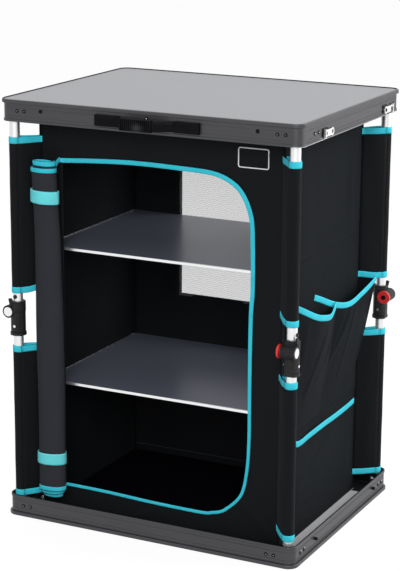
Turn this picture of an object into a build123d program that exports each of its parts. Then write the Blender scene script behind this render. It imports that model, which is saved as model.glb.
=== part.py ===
from build123d import *
import math
import os

# A folding camping cupboard: two shallow trays, four legs that break at a knuckle in the middle,
# and a fabric cabinet that hangs between the trays.
# Millimetres. X is the width, -Y the front with the door, Z up. The origin is the centre of the
# base, on the ground.

# Driving dimensions
width = 600.0
depth = 470.0
height = 800.0
tray_height = 40.5
tray_corner_radius = 20.0
leg_inset = 21.5
cabinet_inset = 55.0

# Tray frame, an extruded section bent round the panel
wall_step = 4.0
wall_thickness = 1.6
free_lip_step = 2.75
free_lip_height = 5.0
rim_width = 4.5
rim_round = 1.6
free_lip_round = 1.0
panel_recess = 0.6
panel_thickness = 5.0
ledge_thickness = 1.6
ledge_width = 8.0
groove_depth = 0.5
groove_height = 1.0
groove_rises = (14.0, 29.5)
panel_gap = 0.2

# Legs
tube_diameter = 19.0
tube_wall = 1.2
knuckle_offset = 13.0
closing_gap = 0.5
pivot_pin_radius = 3.0
running_clearance = 0.05
open_pivot_clearance = 0.6
tube_end = 9.0
fit_gap = 0.3

# Knuckle housings, measured from the knuckle pivot
barrel_radius = 12.0
barrel_outer_end = 14.5
barrel_inner_end = 13.0
middle_lug_half = 6.0
lug_gap = 0.3
socket_radius = 14.0
socket_depth = 45.0
socket_collar_radius = 15.3
socket_collar_height = 6.0
socket_flat = 12.7
upper_socket_radius = 14.5
upper_socket_depth = 20.0
split_gap = 0.4
tube_stop = 12.5
socket_rivet_drop = 27.0
socket_rivet_radius = 2.5
socket_rivet_proud = 0.5
pin_head_radius = 8.85
pin_head_thickness = 0.85
pin_tip = 17.0
snap_button_rise = 29.0
snap_button_radius = 3.8
snap_button_proud = 2.5
lever_width = 6.0
lever_thickness = 3.0
lever_top = 26.0
lever_bottom = 14.0
lever_offset = 8.0
lever_lean = 12.0
knob_radius = 4.0
knob_rise = 15.0
knob_end = 17.0

# Release button, a red ring that is pushed along the knuckle pivot
button_radius = 12.75
button_start = 15.5
button_end = 20.0
button_hole_radius = 4.6
button_stem_radius = 8.0
button_stem_start = 10.0
button_travel = 2.0
button_round = 1.4

# Corner brackets
bracket_height = 36.0
bracket_reach = 16.0
bracket_throat = 8.5
bracket_slot_clearance = 0.5
bracket_floor = 13.5
bracket_cheek_clearance = 0.25
bracket_heel = 13.8
along_wing_length = 62.0
across_wing_length = 40.0
wing_thickness = 3.2
wing_height = 30.0

# Rivets, studs and screw
rivet_rise = 20.4
rivet_radius = 2.0
rivet_length = 4.4
rivet_head_radius = 3.4
rivet_head_height = 1.2
side_rivet_drop = 24.0
bottom_front_rivet_steps = (36.0, 51.0, 57.0, 42.0)
bottom_right_rivet_steps = (37.0, 54.0, 48.0, 32.0)
top_front_rivet_steps = (38.0, 53.0, 48.0, 33.0)
top_right_rivet_steps = (61.0, 78.0, 48.0, 32.0)
stud_radius = 3.0
latch_stud_rise = 23.5
latch_stud_proud = 5.6
front_stud_radius = 3.5
front_stud_steps = (87.5, 84.6)
front_stud_drop = 18.0
front_stud_proud = 1.8
screw_place = 0.0
screw_drop = 16.5
screw_radius = 2.2

# Hasps on the right of the top tray
hasp_steps = (104.0, 79.0)
hasp_plate_length = 20.0
hasp_plate_height = 15.0
hasp_plate_thickness = 1.8
hasp_plate_drop = 28.0
hasp_arm_thickness = 1.5
hasp_arm_half = 6.0
hasp_eye_radius = 7.0
hasp_rivet_radius = 2.4
hasp_rivet_head_radius = 3.3
hasp_rivet_head_height = 1.0
hasp_bar_half = 8.0
hasp_bar_width = 3.2
hasp_bar_proud = 2.0
hasp_stud_clearance = 0.6
hasp_span = 28.0

# Carrying handle on the front of the top tray
handle_drop = 23.0
mount_center = 4.0
mount_half_gap = 54.0
mount_length = 49.0
mount_height = 20.0
mount_proud = 8.0
mount_round = 3.0
strap_height = 18.0
strap_thickness = 3.0
strap_bow = 16.0
grip_center = -8.0
grip_half = 31.0
grip_height = 22.0
grip_thickness = 9.0
grip_rib_count = 15
grip_rib_depth = 0.8

# Fabric cabinet
fabric = 1.2
cabinet_top_gap = 0.6
door_left_step = 40.0
door_right_step = 58.0
door_bottom = 52.0
door_top_drop = 103.0
door_top_curve_x = 125.0
door_top_curve_z = 100.0
door_bottom_radius = 92.0
door_corner_radius = 6.0
door_corner_least = 0.5
piping_width = 8.0
piping_thickness = 1.6
badge_step = 30.5
badge_width = 57.5
badge_drop = 58.0
badge_height = 34.5
badge_radius = 6.0
badge_thickness = 0.8
mesh_side_step = 103.0
mesh_top_drop = 95.0
mesh_height = 350.0
mesh_thickness = 0.8
mesh_columns = 15
mesh_rows = 18
mesh_bar = 4.0

# Sleeves round the legs and the flaps that tie them to the cabinet
sleeve_thickness = 1.2
sleeve_gap = 0.3
sleeve_foot_step = 9.25
sleeve_knuckle_drop = 66.0
sleeve_knuckle_rise = 36.0
sleeve_top_step = 43.25
flap_seam_shift = 4.0

# Rolled-up door
roll_step = 27.5
roll_half_width = 27.0
roll_half_depth = 15.0
roll_swell = 2.0
roll_bottom = 38.0
roll_top_drop = 112.0
roll_gap = 0.4
strap_band = 26.0
upper_strap_drop = 188.0
lower_strap_bottom = 101.0
strap_cloth = 1.2

# Pockets on the right wall
lower_pocket_top = 197.0
pocket_bottom = 60.0
lower_pocket_bulge = 5.0
upper_pocket_bottom = 215.0
upper_pocket_top = 462.0
pocket_side_step = 12.0
front_pocket_length = 196.0
rear_pocket_length = 200.0
front_pocket_bulge = 30.0
rear_pocket_bulge = 24.0
pocket_sag = 34.0

# Shelves and base board
shelf_thickness = 4.0
upper_shelf_drop = 278.0
lower_shelf_drop = 538.0
shelf_side_gap = 0.3
shelf_front_gap = 4.0
edging_height = 5.0
edging_depth = 3.0

# Worked out from the sizes above
lip_height = panel_recess + panel_thickness + ledge_thickness
wall_inset = wall_step + wall_thickness
pivot_rise = tray_height + closing_gap / 2 - knuckle_offset
knuckle_rise = height / 2
leg_length = knuckle_rise - pivot_rise
tube_radius = tube_diameter / 2
corner_names = ("FL", "FR", "BR", "BL")
corner_x = width / 2 - leg_inset
corner_y = depth / 2 - leg_inset
cabinet_half_x = width / 2 - cabinet_inset
cabinet_half_y = depth / 2 - cabinet_inset
cabinet_corner = cabinet_inset - leg_inset
wall_gap = leg_inset - wall_inset
ledge_face = panel_recess + panel_thickness
front_wall = depth / 2 - wall_step
hasp_drop = 2 * tray_height + closing_gap - latch_stud_rise - hasp_span
right_wall = width / 2 - wall_step
cheek_radius = sleeve_foot_step - bracket_cheek_clearance
lower_sleeve_bottom = pivot_rise + sleeve_foot_step
lower_sleeve_top = knuckle_rise - sleeve_knuckle_drop
upper_sleeve_bottom = knuckle_rise + sleeve_knuckle_rise
upper_sleeve_top = height - pivot_rise - sleeve_top_step
hasp_places = (hasp_steps[0] - depth / 2, depth / 2 - hasp_steps[1])
front_stud_places = (front_stud_steps[0] - width / 2, width / 2 - front_stud_steps[1])
door_left = door_left_step - cabinet_half_x
door_right = cabinet_half_x - door_right_step
door_top = height - door_top_drop
badge_right = cabinet_half_x - badge_step
badge_left = badge_right - badge_width
badge_top = height - badge_drop
badge_bottom = badge_top - badge_height
mesh_half_width = cabinet_half_x - mesh_side_step
mesh_top = height - mesh_top_drop
mesh_bottom = mesh_top - mesh_height
roll_center = roll_step - cabinet_half_x
roll_top = height - roll_top_drop
upper_strap_bottom = height - upper_strap_drop
pocket_front = pocket_side_step - cabinet_half_y
pocket_rear = cabinet_half_y - pocket_side_step
front_pocket_span = (pocket_front, pocket_front + front_pocket_length)
rear_pocket_span = (pocket_rear - rear_pocket_length, pocket_rear)
upper_shelf_top = height - upper_shelf_drop
lower_shelf_top = height - lower_shelf_drop

os.makedirs("parts", exist_ok=True)


def save(name, solids):
    """Write one node, from one solid or a list of separate solids."""
    if isinstance(solids, list):
        solids = Compound(children=[solid for group in solids for solid in group.solids()])
    export_step(solids, f"parts/{name}.step")


def slab(inset, low, high):
    """Block with the tray's rounded outline, set in from the outermost lip."""
    radius = max(tray_corner_radius - inset, 1.0)
    outline = RectangleRounded(width - 2 * inset, depth - 2 * inset, radius)
    return Pos(0, 0, low) * extrude(outline, high - low)


def ring(outer_inset, inner_inset, low, high, rounding=0.0):
    """Frame band between two insets, with its outer edges rounded."""
    block = slab(outer_inset, low, high)
    if rounding > 0:
        faces = block.faces().sort_by(Axis.Z)
        block = fillet(faces[0].edges() + faces[-1].edges(), rounding)
    return block - slab(inner_inset, low - 1, high + 1)


def box_between(x_low, x_high, y_low, y_high, z_low, z_high):
    """Block between six planes."""
    block = Box(x_high - x_low, y_high - y_low, z_high - z_low)
    return Pos((x_low + x_high) / 2, (y_low + y_high) / 2, (z_low + z_high) / 2) * block


def rod_z(radius, low, high):
    """Upright cylinder on the leg's axis."""
    return Pos(0, 0, (low + high) / 2) * Cylinder(radius, high - low)


def rod_y(radius, low, high, x=0.0, z=0.0):
    """Cylinder along Y."""
    return Pos(x, (low + high) / 2, z) * Rot(90, 0, 0) * Cylinder(radius, high - low)


def rod_x(radius, low, high, y=0.0, z=0.0):
    """Cylinder along X."""
    return Pos((low + high) / 2, y, z) * Rot(0, 90, 0) * Cylinder(radius, high - low)


def at_corner(index, shape):
    """Move a shape from a leg's own frame to its corner of the trays.

    In a leg's own frame the leg stands on the Z axis and folds towards +X, and the two walls of
    the tray lie towards -X and -Y. Each corner is a quarter turn on from the last.
    """
    signs = ((-1, -1), (1, -1), (1, 1), (-1, 1))[index]
    return Pos(signs[0] * corner_x, signs[1] * corner_y, 0) * Rot(0, 0, 90 * index) * shape


def flipped(shape):
    """The same piece in the top tray, upside down."""
    return mirror(shape, about=Plane.XY.offset(height / 2))


# Trays

def rivet(wall, place, rise):
    """One rivet of the front or the right wall, with its domed head outside."""
    shank = Pos(0, 0, rivet_length / 2) * Cylinder(rivet_radius, rivet_length)
    head = Pos(0, 0, -rivet_head_height / 2) * Cylinder(rivet_head_radius, rivet_head_height)
    head = fillet(head.faces().sort_by(Axis.Z)[0].edges(), rivet_head_height * 0.7)
    if wall == "front":
        return Pos(place, -front_wall, rise) * Rot(-90, 0, 0) * (shank + head)
    return Pos(right_wall, place, rise) * Rot(0, -90, 0) * (shank + head)


def from_ends(half_length, steps):
    """Four places along a wall: two steps in from its low end, then two in from its high end."""
    low = [step - half_length for step in steps[:2]]
    return low + [half_length - step for step in steps[2:]]


def rivet_hole(wall, place, rise):
    """Hole for one rivet through the wall and into the bracket."""
    radius = rivet_radius + running_clearance
    reach = rivet_length + running_clearance
    if wall == "front":
        return rod_y(radius, -front_wall - 1, -front_wall + reach, place, rise)
    return rod_x(radius, right_wall - reach, right_wall + 1, place, rise)


def all_round(maker, front_places, right_places, right_rise):
    """Rivets or holes of a tray's four walls. The back and left walls are the others, turned half round."""
    made = [maker("front", place, rivet_rise) for place in front_places]
    made += [maker("right", place, right_rise) for place in right_places]
    return made + [Rot(0, 0, 180) * shape for shape in made]


def tray_frame(holes):
    """Frame of a tray, with the table side down and holes for its rivets."""
    rim = ring(0, rim_width, 0, lip_height, rim_round)
    ledge = ring(rim_width - 1, wall_inset + ledge_width, ledge_face, lip_height)
    wall = ring(wall_step, wall_inset, ledge_face, tray_height - free_lip_height / 2)
    lip = ring(free_lip_step, wall_inset, tray_height - free_lip_height, tray_height, free_lip_round)
    frame = rim + ledge + wall + lip
    for rise in groove_rises:
        frame -= ring(wall_step - 0.1, wall_step + groove_depth, rise, rise + groove_height)
    for hole in holes:
        frame -= hole
    return frame


def panel(bottom_recess):
    """Panel that lies in the frame, between the rim and the ledge."""
    return slab(rim_width + panel_gap, bottom_recess, ledge_face)


def bracket():
    """Moulded corner bracket with a slot for the folded leg, and a wing along each wall."""
    near = -wall_gap + fit_gap
    block = box_between(near, bracket_throat, near, bracket_reach, lip_height, bracket_height)
    along = box_between(near, along_wing_length, near, near + wing_thickness, lip_height, wing_height)
    across = box_between(near, near + wing_thickness, near, across_wing_length, lip_height, wing_height)
    body = block + along + across
    corner_edges = body.edges().filter_by(Axis.Z).sort_by(lambda edge: edge.center().X + edge.center().Y)
    body = fillet(corner_edges[0], tray_corner_radius - wall_inset - fit_gap)
    slot_half = tube_radius + bracket_slot_clearance
    body -= box_between(-bracket_heel, leg_inset, -slot_half, slot_half, bracket_floor, bracket_height + 1)
    past = bracket_throat + 1
    corner = box_between(0, past, -leg_inset, bracket_reach + 1, pivot_rise, bracket_height + 1)
    body -= corner - rod_y(cheek_radius, -leg_inset - 1, bracket_reach + 2, 0, pivot_rise)
    return body - rod_y(pivot_pin_radius + running_clearance, -leg_inset, bracket_reach + 1, 0, pivot_rise)


def corner_brackets(holes):
    """The four brackets of a tray, drilled for its rivets."""
    made = []
    for index in range(4):
        body = at_corner(index, bracket())
        for hole in holes:
            body -= hole
        made.append(body)
    return made


def pivot_pin():
    """Pin that a leg turns on, held in both cheeks of its bracket."""
    return rod_y(pivot_pin_radius, -wall_gap + 1, bracket_reach - 1, 0, pivot_rise)


# Legs, each in its own frame

def barrel(radius, low, high):
    """Cylinder about the knuckle pivot, between two places along it."""
    return rod_y(radius, low, high, -knuckle_offset, knuckle_rise)


def button_recess():
    """Room in both housings for the button's cap when it is pushed in."""
    low = button_start - button_travel - fit_gap
    return barrel(button_radius + fit_gap, low, button_end)


def behind_flat():
    """Everything past the flat on the pivot side of a knuckle housing."""
    far = socket_flat + 2 * socket_collar_radius
    return box_between(-far, -socket_flat, -far, far, knuckle_rise - 60, knuckle_rise + 60)


def lower_tube():
    """Lower half of a leg."""
    low = pivot_rise - tube_end
    high = knuckle_rise - tube_stop
    tube = rod_z(tube_radius, low, high) - rod_z(tube_radius - tube_wall, low - 1, high + 1)
    tube -= rod_y(pivot_pin_radius + running_clearance, -tube_radius - 1, tube_radius + 1, 0, pivot_rise)
    rivet_z = knuckle_rise - socket_rivet_drop
    radius = socket_rivet_radius + running_clearance
    return tube - rod_y(radius, -tube_radius - 1, tube_radius + 1, 0, rivet_z)


def upper_tube(hole_clearance):
    """Upper half of a leg."""
    low = knuckle_rise + tube_stop
    high = height - pivot_rise + tube_end
    tube = rod_z(tube_radius, low, high) - rod_z(tube_radius - tube_wall, low - 1, high + 1)
    hole_z = height - pivot_rise
    tube -= rod_y(pivot_pin_radius + hole_clearance, -tube_radius - 1, tube_radius + 1, 0, hole_z)
    snap_z = knuckle_rise + snap_button_rise
    return tube - rod_y(snap_button_radius + running_clearance, -tube_radius - 1, 0, 0, snap_z)


def lower_knuckle():
    """Lower housing: a socket for the lower tube, and the middle lug of the hinge."""
    bottom = knuckle_rise - socket_depth
    socket = rod_z(socket_radius, bottom, knuckle_rise - split_gap)
    collar = rod_z(socket_collar_radius, bottom, bottom + socket_collar_height)
    collar = fillet(collar.faces().sort_by(Axis.Z)[-1].edges(), 1.2)
    body = socket + collar - behind_flat()
    body += barrel(barrel_radius, -middle_lug_half, middle_lug_half)
    cut_radius = barrel_radius + fit_gap
    far = socket_collar_radius + 1
    body -= barrel(cut_radius, middle_lug_half, far)
    body -= barrel(cut_radius, -far, -middle_lug_half)
    body -= rod_z(tube_radius + running_clearance, bottom - 1, knuckle_rise - tube_stop)
    body -= barrel(pivot_pin_radius + running_clearance, -far, far)
    body -= button_recess()
    rivet_z = knuckle_rise - socket_rivet_drop
    return body - rod_y(socket_rivet_radius + running_clearance, -far, far, 0, rivet_z)


def upper_knuckle():
    """Upper housing: a collar on the upper tube, the outer lugs, the lock lever and its knob."""
    top = knuckle_rise + upper_socket_depth
    body = rod_z(upper_socket_radius, knuckle_rise + split_gap, top)
    body = fillet(body.faces().sort_by(Axis.Z)[-1].edges(), 1.5) - behind_flat()
    lug_start = middle_lug_half + lug_gap
    body += barrel(barrel_radius, -barrel_outer_end, -lug_start)
    body += barrel(barrel_radius, lug_start, barrel_inner_end)
    body -= barrel(barrel_radius + fit_gap, -lug_start, lug_start)
    body -= rod_z(tube_radius + running_clearance, knuckle_rise + tube_stop, top + 1)
    body -= barrel(pivot_pin_radius + running_clearance, -barrel_outer_end - 1, barrel_inner_end + 1)
    seat = button_stem_start - button_travel - 0.5
    body -= barrel(button_stem_radius + running_clearance, seat, barrel_inner_end + 1)
    body -= button_recess()
    lever = Box(lever_width, lever_thickness, lever_top - lever_bottom)
    lever_z = knuckle_rise + (lever_top + lever_bottom) / 2
    lever_y = -barrel_outer_end + lever_thickness / 2
    lever = Pos(-lever_offset, lever_y, lever_z) * Rot(0, -lever_lean, 0) * lever
    knob = rod_y(knob_radius, tube_radius + 1, knob_end, 0, knuckle_rise + knob_rise)
    return body + lever + knob


def snap_button():
    """Black button that stands out of the upper tube above its housing."""
    z = knuckle_rise + snap_button_rise
    button = rod_y(snap_button_radius, -tube_radius - snap_button_proud, -tube_radius + 2, 0, z)
    return fillet(button.faces().sort_by(Axis.Y)[0].edges(), snap_button_proud * 0.7)


def knuckle_pin():
    """Knuckle pivot with its flat head, and the rivet that holds the tube in the lower housing."""
    head_face = -barrel_outer_end - running_clearance
    pin = barrel(pivot_pin_radius, head_face, pin_tip)
    head = barrel(pin_head_radius, head_face - pin_head_thickness, head_face)
    end = socket_radius + socket_rivet_proud
    cross = rod_y(socket_rivet_radius, -end, end, 0, knuckle_rise - socket_rivet_drop)
    return [pin + head, cross]


def release_button():
    """Red ring on a stem that slides in the upper housing."""
    cap = barrel(button_radius, button_start, button_end)
    cap = fillet(cap.faces().sort_by(Axis.Y)[-1].edges(), button_round)
    stem = barrel(button_stem_radius, button_stem_start, button_start + 1)
    return cap + stem - barrel(button_hole_radius, button_stem_start - 1, button_end + 1)


def sleeve(low, high):
    """Fabric sleeve on a leg tube."""
    inner = tube_radius + sleeve_gap
    return rod_z(inner + sleeve_thickness, low, high) - rod_z(inner, low - 1, high + 1)


def flap(side, low, high):
    """Flat flap from a corner of the cabinet to the sleeve, which it meets as a tangent."""
    reach = cabinet_corner - fit_gap
    seam = Vector(cabinet_corner + flap_seam_shift, reach)
    radius = tube_radius + sleeve_gap + sleeve_thickness + fit_gap
    start_angle = math.atan2(seam.Y, seam.X)
    tangent_angle = start_angle - math.acos(radius / seam.length)
    tangent = Vector(radius * math.cos(tangent_angle), radius * math.sin(tangent_angle))
    outward = tangent.normalized() * fabric
    outline = make_face(Polyline(seam, tangent, tangent + outward, seam + outward, close=True))
    plate = Pos(0, 0, low) * extrude(outline, high - low)
    if side == "along":
        return plate
    return mirror(plate, about=Plane(origin=(0, 0, 0), z_dir=(1, -1, 0)))


# Fittings on the top tray

def hasp_plate(place):
    """Plate that carries a hasp on the right wall of the top tray, with the hasp's rivet."""
    z = height - hasp_plate_drop
    half = hasp_plate_length / 2
    plate = box_between(right_wall, right_wall + hasp_plate_thickness, place - half, place + half,
                        z - hasp_plate_height / 2, z + hasp_plate_height / 2)
    face = hasp_inner_face() + hasp_arm_thickness + running_clearance
    rivet_z = height - hasp_drop
    pin = rod_x(hasp_rivet_radius, right_wall + 1, face, place, rivet_z)
    head = rod_x(hasp_rivet_head_radius, face, face + hasp_rivet_head_height, place, rivet_z)
    return plate + pin + fillet(head.faces().sort_by(Axis.X)[-1].edges(), hasp_rivet_head_height * 0.6)


def hasp_inner_face():
    """Inner face of a hasp's arm."""
    return right_wall + hasp_plate_thickness + fit_gap


def hasp(eye, toward, rivet_at_eye):
    """Hasp at rest, lying level: an eye at one end, and a raised bar at the end towards the corner.

    The front hasp turns on a rivet beside its bar, and its eye goes over the stud below. The rear one
    is its mirror image, turns on a rivet in its eye, and takes the stud in a slot beside its bar.
    """
    z = height - hasp_drop
    inner = hasp_inner_face()
    outer = inner + hasp_arm_thickness
    stud_hole = stud_radius + hasp_stud_clearance
    rivet_hole_radius = hasp_rivet_radius + running_clearance
    far = eye + toward * hasp_span
    bar_start = far + toward * stud_hole
    bar_end = bar_start + toward * hasp_bar_width
    low, high = sorted((eye, bar_end))
    arm = box_between(inner, outer, low, high, z - hasp_arm_half, z + hasp_arm_half)
    arm += rod_x(hasp_eye_radius, inner, outer, eye, z)
    bar_low, bar_high = sorted((bar_start, bar_end))
    arm += box_between(inner, outer + hasp_bar_proud, bar_low, bar_high, z - hasp_bar_half, z + hasp_bar_half)
    if rivet_at_eye:
        arm -= rod_x(rivet_hole_radius, inner - 1, outer + 1, eye, z)
        arm -= rod_x(stud_hole, inner - 1, outer + 1, far, z)
        below = z - 2 * hasp_arm_half
        return arm - box_between(inner - 1, outer + 1, far - stud_hole, far + stud_hole, below, z)
    arm -= rod_x(stud_hole, inner - 1, outer + 1, eye, z)
    return arm - rod_x(rivet_hole_radius, inner - 1, outer + 1, far, z)


def handle_mount(side):
    """Moulded housing that holds one end of the handle strap."""
    z = height - handle_drop
    middle = mount_center + side * (mount_half_gap + mount_length / 2)
    block = box_between(middle - mount_length / 2, middle + mount_length / 2,
                        -front_wall - mount_proud, -front_wall, z - mount_height / 2, z + mount_height / 2)
    front_edges = block.faces().sort_by(Axis.Y)[0].edges()
    block = fillet(front_edges, mount_round)
    return block


def handle_strap(side):
    """Bowed strap between a mount and the grip."""
    z = height - handle_drop
    start_y = -front_wall - mount_proud / 2
    end_y = start_y - strap_bow
    start_x = mount_center + side * (mount_half_gap - fit_gap)
    end_x = grip_center + side * (grip_half + fit_gap)
    half = strap_thickness / 2
    back = [(start_x, start_y + half), (end_x, end_y + half)]
    front = [(end_x, end_y - half), (start_x, start_y - half)]
    outline = make_face(Polyline(*back, *front, close=True))
    return Pos(0, 0, z - strap_height / 2) * extrude(outline, strap_height)


def handle_grip():
    """Ribbed grip in the middle of the handle."""
    z = height - handle_drop
    y = -front_wall - mount_proud / 2 - strap_bow
    body = Box(2 * grip_half, grip_thickness, grip_height)
    body = Pos(grip_center, y, z) * fillet(body.edges().filter_by(Axis.X), grip_thickness * 0.35)
    pitch = 2 * grip_half / (grip_rib_count + 1)
    face = y - grip_thickness / 2
    for number in range(grip_rib_count):
        x = grip_center - grip_half + pitch * (number + 1)
        body -= box_between(x - pitch / 4, x + pitch / 4, face - 1, face + grip_rib_depth,
                            z - grip_height / 2, z + grip_height / 2)
    return body


# Fabric cabinet

def door_outline(grow):
    """Outline of the door opening on the front, in X and Z, moved outwards by grow."""
    left = door_left - grow
    right = door_right + grow
    low = door_bottom - grow
    top = door_top + grow
    curve_x = door_top_curve_x + grow
    curve_z = door_top_curve_z + grow
    low_radius = door_bottom_radius + grow
    small = max(door_corner_radius + grow, door_corner_least)
    lines = [
        Line((left + small, top), (right - curve_x, top)),
        EllipticalCenterArc((right - curve_x, top - curve_z), curve_x, curve_z, start_angle=0, arc_size=90),
        Line((right, top - curve_z), (right, low + low_radius)),
        CenterArc((right - low_radius, low + low_radius), low_radius, 270, 90),
        Line((right - low_radius, low), (left + small, low)),
        CenterArc((left + small, low + small), small, 180, 90),
        Line((left, low + small), (left, top - small)),
        CenterArc((left + small, top - small), small, 90, 90),
    ]
    return make_face(lines)


def front_plate(face, y_front, thickness):
    """Stand an X-Z outline up at the front and give it a thickness towards the back."""
    plane = Plane(origin=(0, y_front, 0), x_dir=(1, 0, 0), z_dir=(0, -1, 0))
    return extrude(plane * face, -thickness)


def front_panel():
    """Front of the cabinet with the door opening."""
    panel_low = ledge_face
    panel_high = height - ledge_face - cabinet_top_gap
    sheet = box_between(-cabinet_half_x, cabinet_half_x, -cabinet_half_y, -cabinet_half_y + fabric,
                        panel_low, panel_high)
    hole = front_plate(door_outline(-piping_width), -cabinet_half_y - 5, 20)
    return sheet - hole


def badge():
    """Plain patch sewn on the front, above the door."""
    outline = RectangleRounded(badge_right - badge_left, badge_top - badge_bottom, badge_radius)
    outline = Pos((badge_left + badge_right) / 2, (badge_bottom + badge_top) / 2) * outline
    return front_plate(outline, -cabinet_half_y - badge_thickness, badge_thickness)


def door_piping():
    """Piping round the door opening, on the outside of the front."""
    hole = front_plate(door_outline(-piping_width), -cabinet_half_y - 5, 20)
    return front_plate(door_outline(0), -cabinet_half_y - piping_thickness, piping_thickness) - hole


def cabinet_walls():
    """Left, right and back walls in one, with the window in the back."""
    low = ledge_face
    high = height - ledge_face - cabinet_top_gap
    front = -cabinet_half_y + fabric
    outer = box_between(-cabinet_half_x, cabinet_half_x, front, cabinet_half_y, low, high)
    inner = box_between(-cabinet_half_x + fabric, cabinet_half_x - fabric, front - 1,
                        cabinet_half_y - fabric, low - 1, high + 1)
    window = box_between(-mesh_half_width, mesh_half_width, 0, cabinet_half_y + 1, mesh_bottom, mesh_top)
    return outer - inner - window


def mesh_window():
    """Net in the window, one flat sheet with a grid of gaps."""
    tall = mesh_top - mesh_bottom
    column = (2 * mesh_half_width - mesh_bar) / mesh_columns
    row = (tall - mesh_bar) / mesh_rows
    sheet = Rectangle(2 * mesh_half_width, tall)
    gap = Rectangle(column - mesh_bar, row - mesh_bar)
    gaps = [location * gap for location in GridLocations(column, row, mesh_columns, mesh_rows)]
    face = sheet - gaps
    plane = Plane(origin=(0, cabinet_half_y, (mesh_top + mesh_bottom) / 2), x_dir=(1, 0, 0), z_dir=(0, -1, 0))
    return extrude(plane * face, mesh_thickness)


def ellipse_post(half_width, half_depth, low, high):
    """Upright post of the rolled door's oval section."""
    y = -cabinet_half_y - roll_gap - piping_thickness - roll_half_depth
    return Pos(roll_center, y, low) * extrude(Ellipse(half_width, half_depth), high - low)


def door_roll():
    """Rolled-up door, slacker in the middle than at its ends."""
    y = -cabinet_half_y - roll_gap - piping_thickness - roll_half_depth
    rises = (roll_bottom, (roll_bottom + roll_top) / 2, roll_top)
    swells = (0.0, roll_swell, 0.0)
    sections = []
    for rise, swell in zip(rises, swells):
        oval = Ellipse(roll_half_width + swell, roll_half_depth)
        sections.append(Pos(roll_center, y, rise) * oval)
    return loft(sections)


def door_strap(low):
    """Band that ties the rolled door."""
    inner_x = roll_half_width + roll_swell + roll_gap
    inner_y = roll_half_depth + roll_gap
    band = ellipse_post(inner_x + strap_cloth, inner_y + strap_cloth, low, low + strap_band)
    band -= ellipse_post(inner_x, inner_y, low - 1, low + strap_band + 1)
    return band - box_between(-width, width, -cabinet_half_y - piping_thickness - fit_gap, 0, 0, height)


def pocket(span, bulge, low, high, sag):
    """Pocket on the right wall: a bowed sheet whose mouth hangs down in the middle."""
    start, end = span
    wall = cabinet_half_x + fit_gap
    middle = (start + end) / 2
    outer_arc = ThreePointArc((wall, start), (wall + bulge, middle), (wall, end))
    outer = make_face([outer_arc, Line((wall, end), (wall, start))])
    hem = 3 * fabric
    inner_arc = ThreePointArc((wall, start + hem), (wall + bulge - fabric, middle), (wall, end - hem))
    inner = make_face([inner_arc, Line((wall, end - hem), (wall, start + hem))])
    shell = Pos(0, 0, low) * extrude(outer - inner, high - low)
    if sag > 0:
        half = (end - start) / 2
        radius = (half * half + sag * sag) / (2 * sag)
        shell -= rod_x(radius, wall - 1, wall + bulge + 1, middle, high - sag + radius)
    return shell


# Shelves

def shelf(top):
    """Stiff board with a metal edging along its front."""
    half_x = cabinet_half_x - fabric - shelf_side_gap
    front = -cabinet_half_y + fabric + shelf_front_gap
    back = cabinet_half_y - fabric - shelf_side_gap
    board = box_between(-half_x, half_x, front + edging_depth, back, top - shelf_thickness, top)
    strip = box_between(-half_x, half_x, front, front + edging_depth, top - edging_height, top + 0.4)
    return [board, fillet(strip.edges().filter_by(Axis.X).sort_by(Axis.Y)[:2], 0.8)]


def base_board():
    """Stiff floor of the cabinet, lying on the floor panel."""
    half_x = cabinet_half_x - fabric - shelf_side_gap
    front = -cabinet_half_y + fabric + shelf_side_gap
    back = cabinet_half_y - fabric - shelf_side_gap
    return box_between(-half_x, half_x, front, back, ledge_face, ledge_face + shelf_thickness)


# Bottom tray
bottom_front_rivets = from_ends(width / 2, bottom_front_rivet_steps)
bottom_right_rivets = from_ends(depth / 2, bottom_right_rivet_steps)
bottom_places = (bottom_front_rivets, bottom_right_rivets, rivet_rise)
bottom_holes = all_round(rivet_hole, *bottom_places)
bottom_frame = tray_frame(bottom_holes)
latch_studs = []
for place in hasp_places:
    bottom_frame -= rod_x(rivet_radius + running_clearance, 0, right_wall + 1, place, latch_stud_rise)
    stud = rod_x(stud_radius, right_wall, right_wall + latch_stud_proud, place, latch_stud_rise)
    shank = rod_x(rivet_radius, right_wall - wall_thickness, right_wall + 1, place, latch_stud_rise)
    latch_studs.append(fillet(stud.faces().sort_by(Axis.X)[-1].edges(), 1.0) + shank)
save("bottom_frame", bottom_frame)
save("floor_panel", panel(0))
save("bottom_brackets", corner_brackets(bottom_holes))
save("bottom_pins", [at_corner(index, pivot_pin()) for index in range(4)])
save("bottom_rivets", all_round(rivet, *bottom_places))
save("latch_studs", latch_studs)

# Top tray
top_front_rivets = from_ends(width / 2, top_front_rivet_steps)
top_right_rivets = from_ends(depth / 2, top_right_rivet_steps)
top_places = (top_front_rivets, top_right_rivets, side_rivet_drop)
top_holes = all_round(rivet_hole, *top_places)
top_frame = flipped(tray_frame(top_holes))
front_studs = []
for place in front_stud_places:
    z = height - front_stud_drop
    stud = rod_y(front_stud_radius, -front_wall - front_stud_proud, -front_wall, place, z)
    stud = fillet(stud.faces().sort_by(Axis.Y)[0].edges(), 1.0)
    front_studs.append(stud + rod_y(rivet_radius, -front_wall - 1, -front_wall + wall_thickness, place, z))
    top_frame -= rod_y(rivet_radius + running_clearance, -front_wall - 1, 0, place, z)
screw_z = height - screw_drop
screw_head = rod_y(screw_radius, -front_wall - front_stud_proud, -front_wall, screw_place, screw_z)
front_studs.append(fillet(screw_head.faces().sort_by(Axis.Y)[0].edges(), 0.8))
save("top_frame", top_frame)
save("table_top", flipped(panel(panel_recess)))
save("top_brackets", [flipped(body) for body in corner_brackets(top_holes)])
save("top_pins", [flipped(at_corner(index, pivot_pin())) for index in range(4)])
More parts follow.
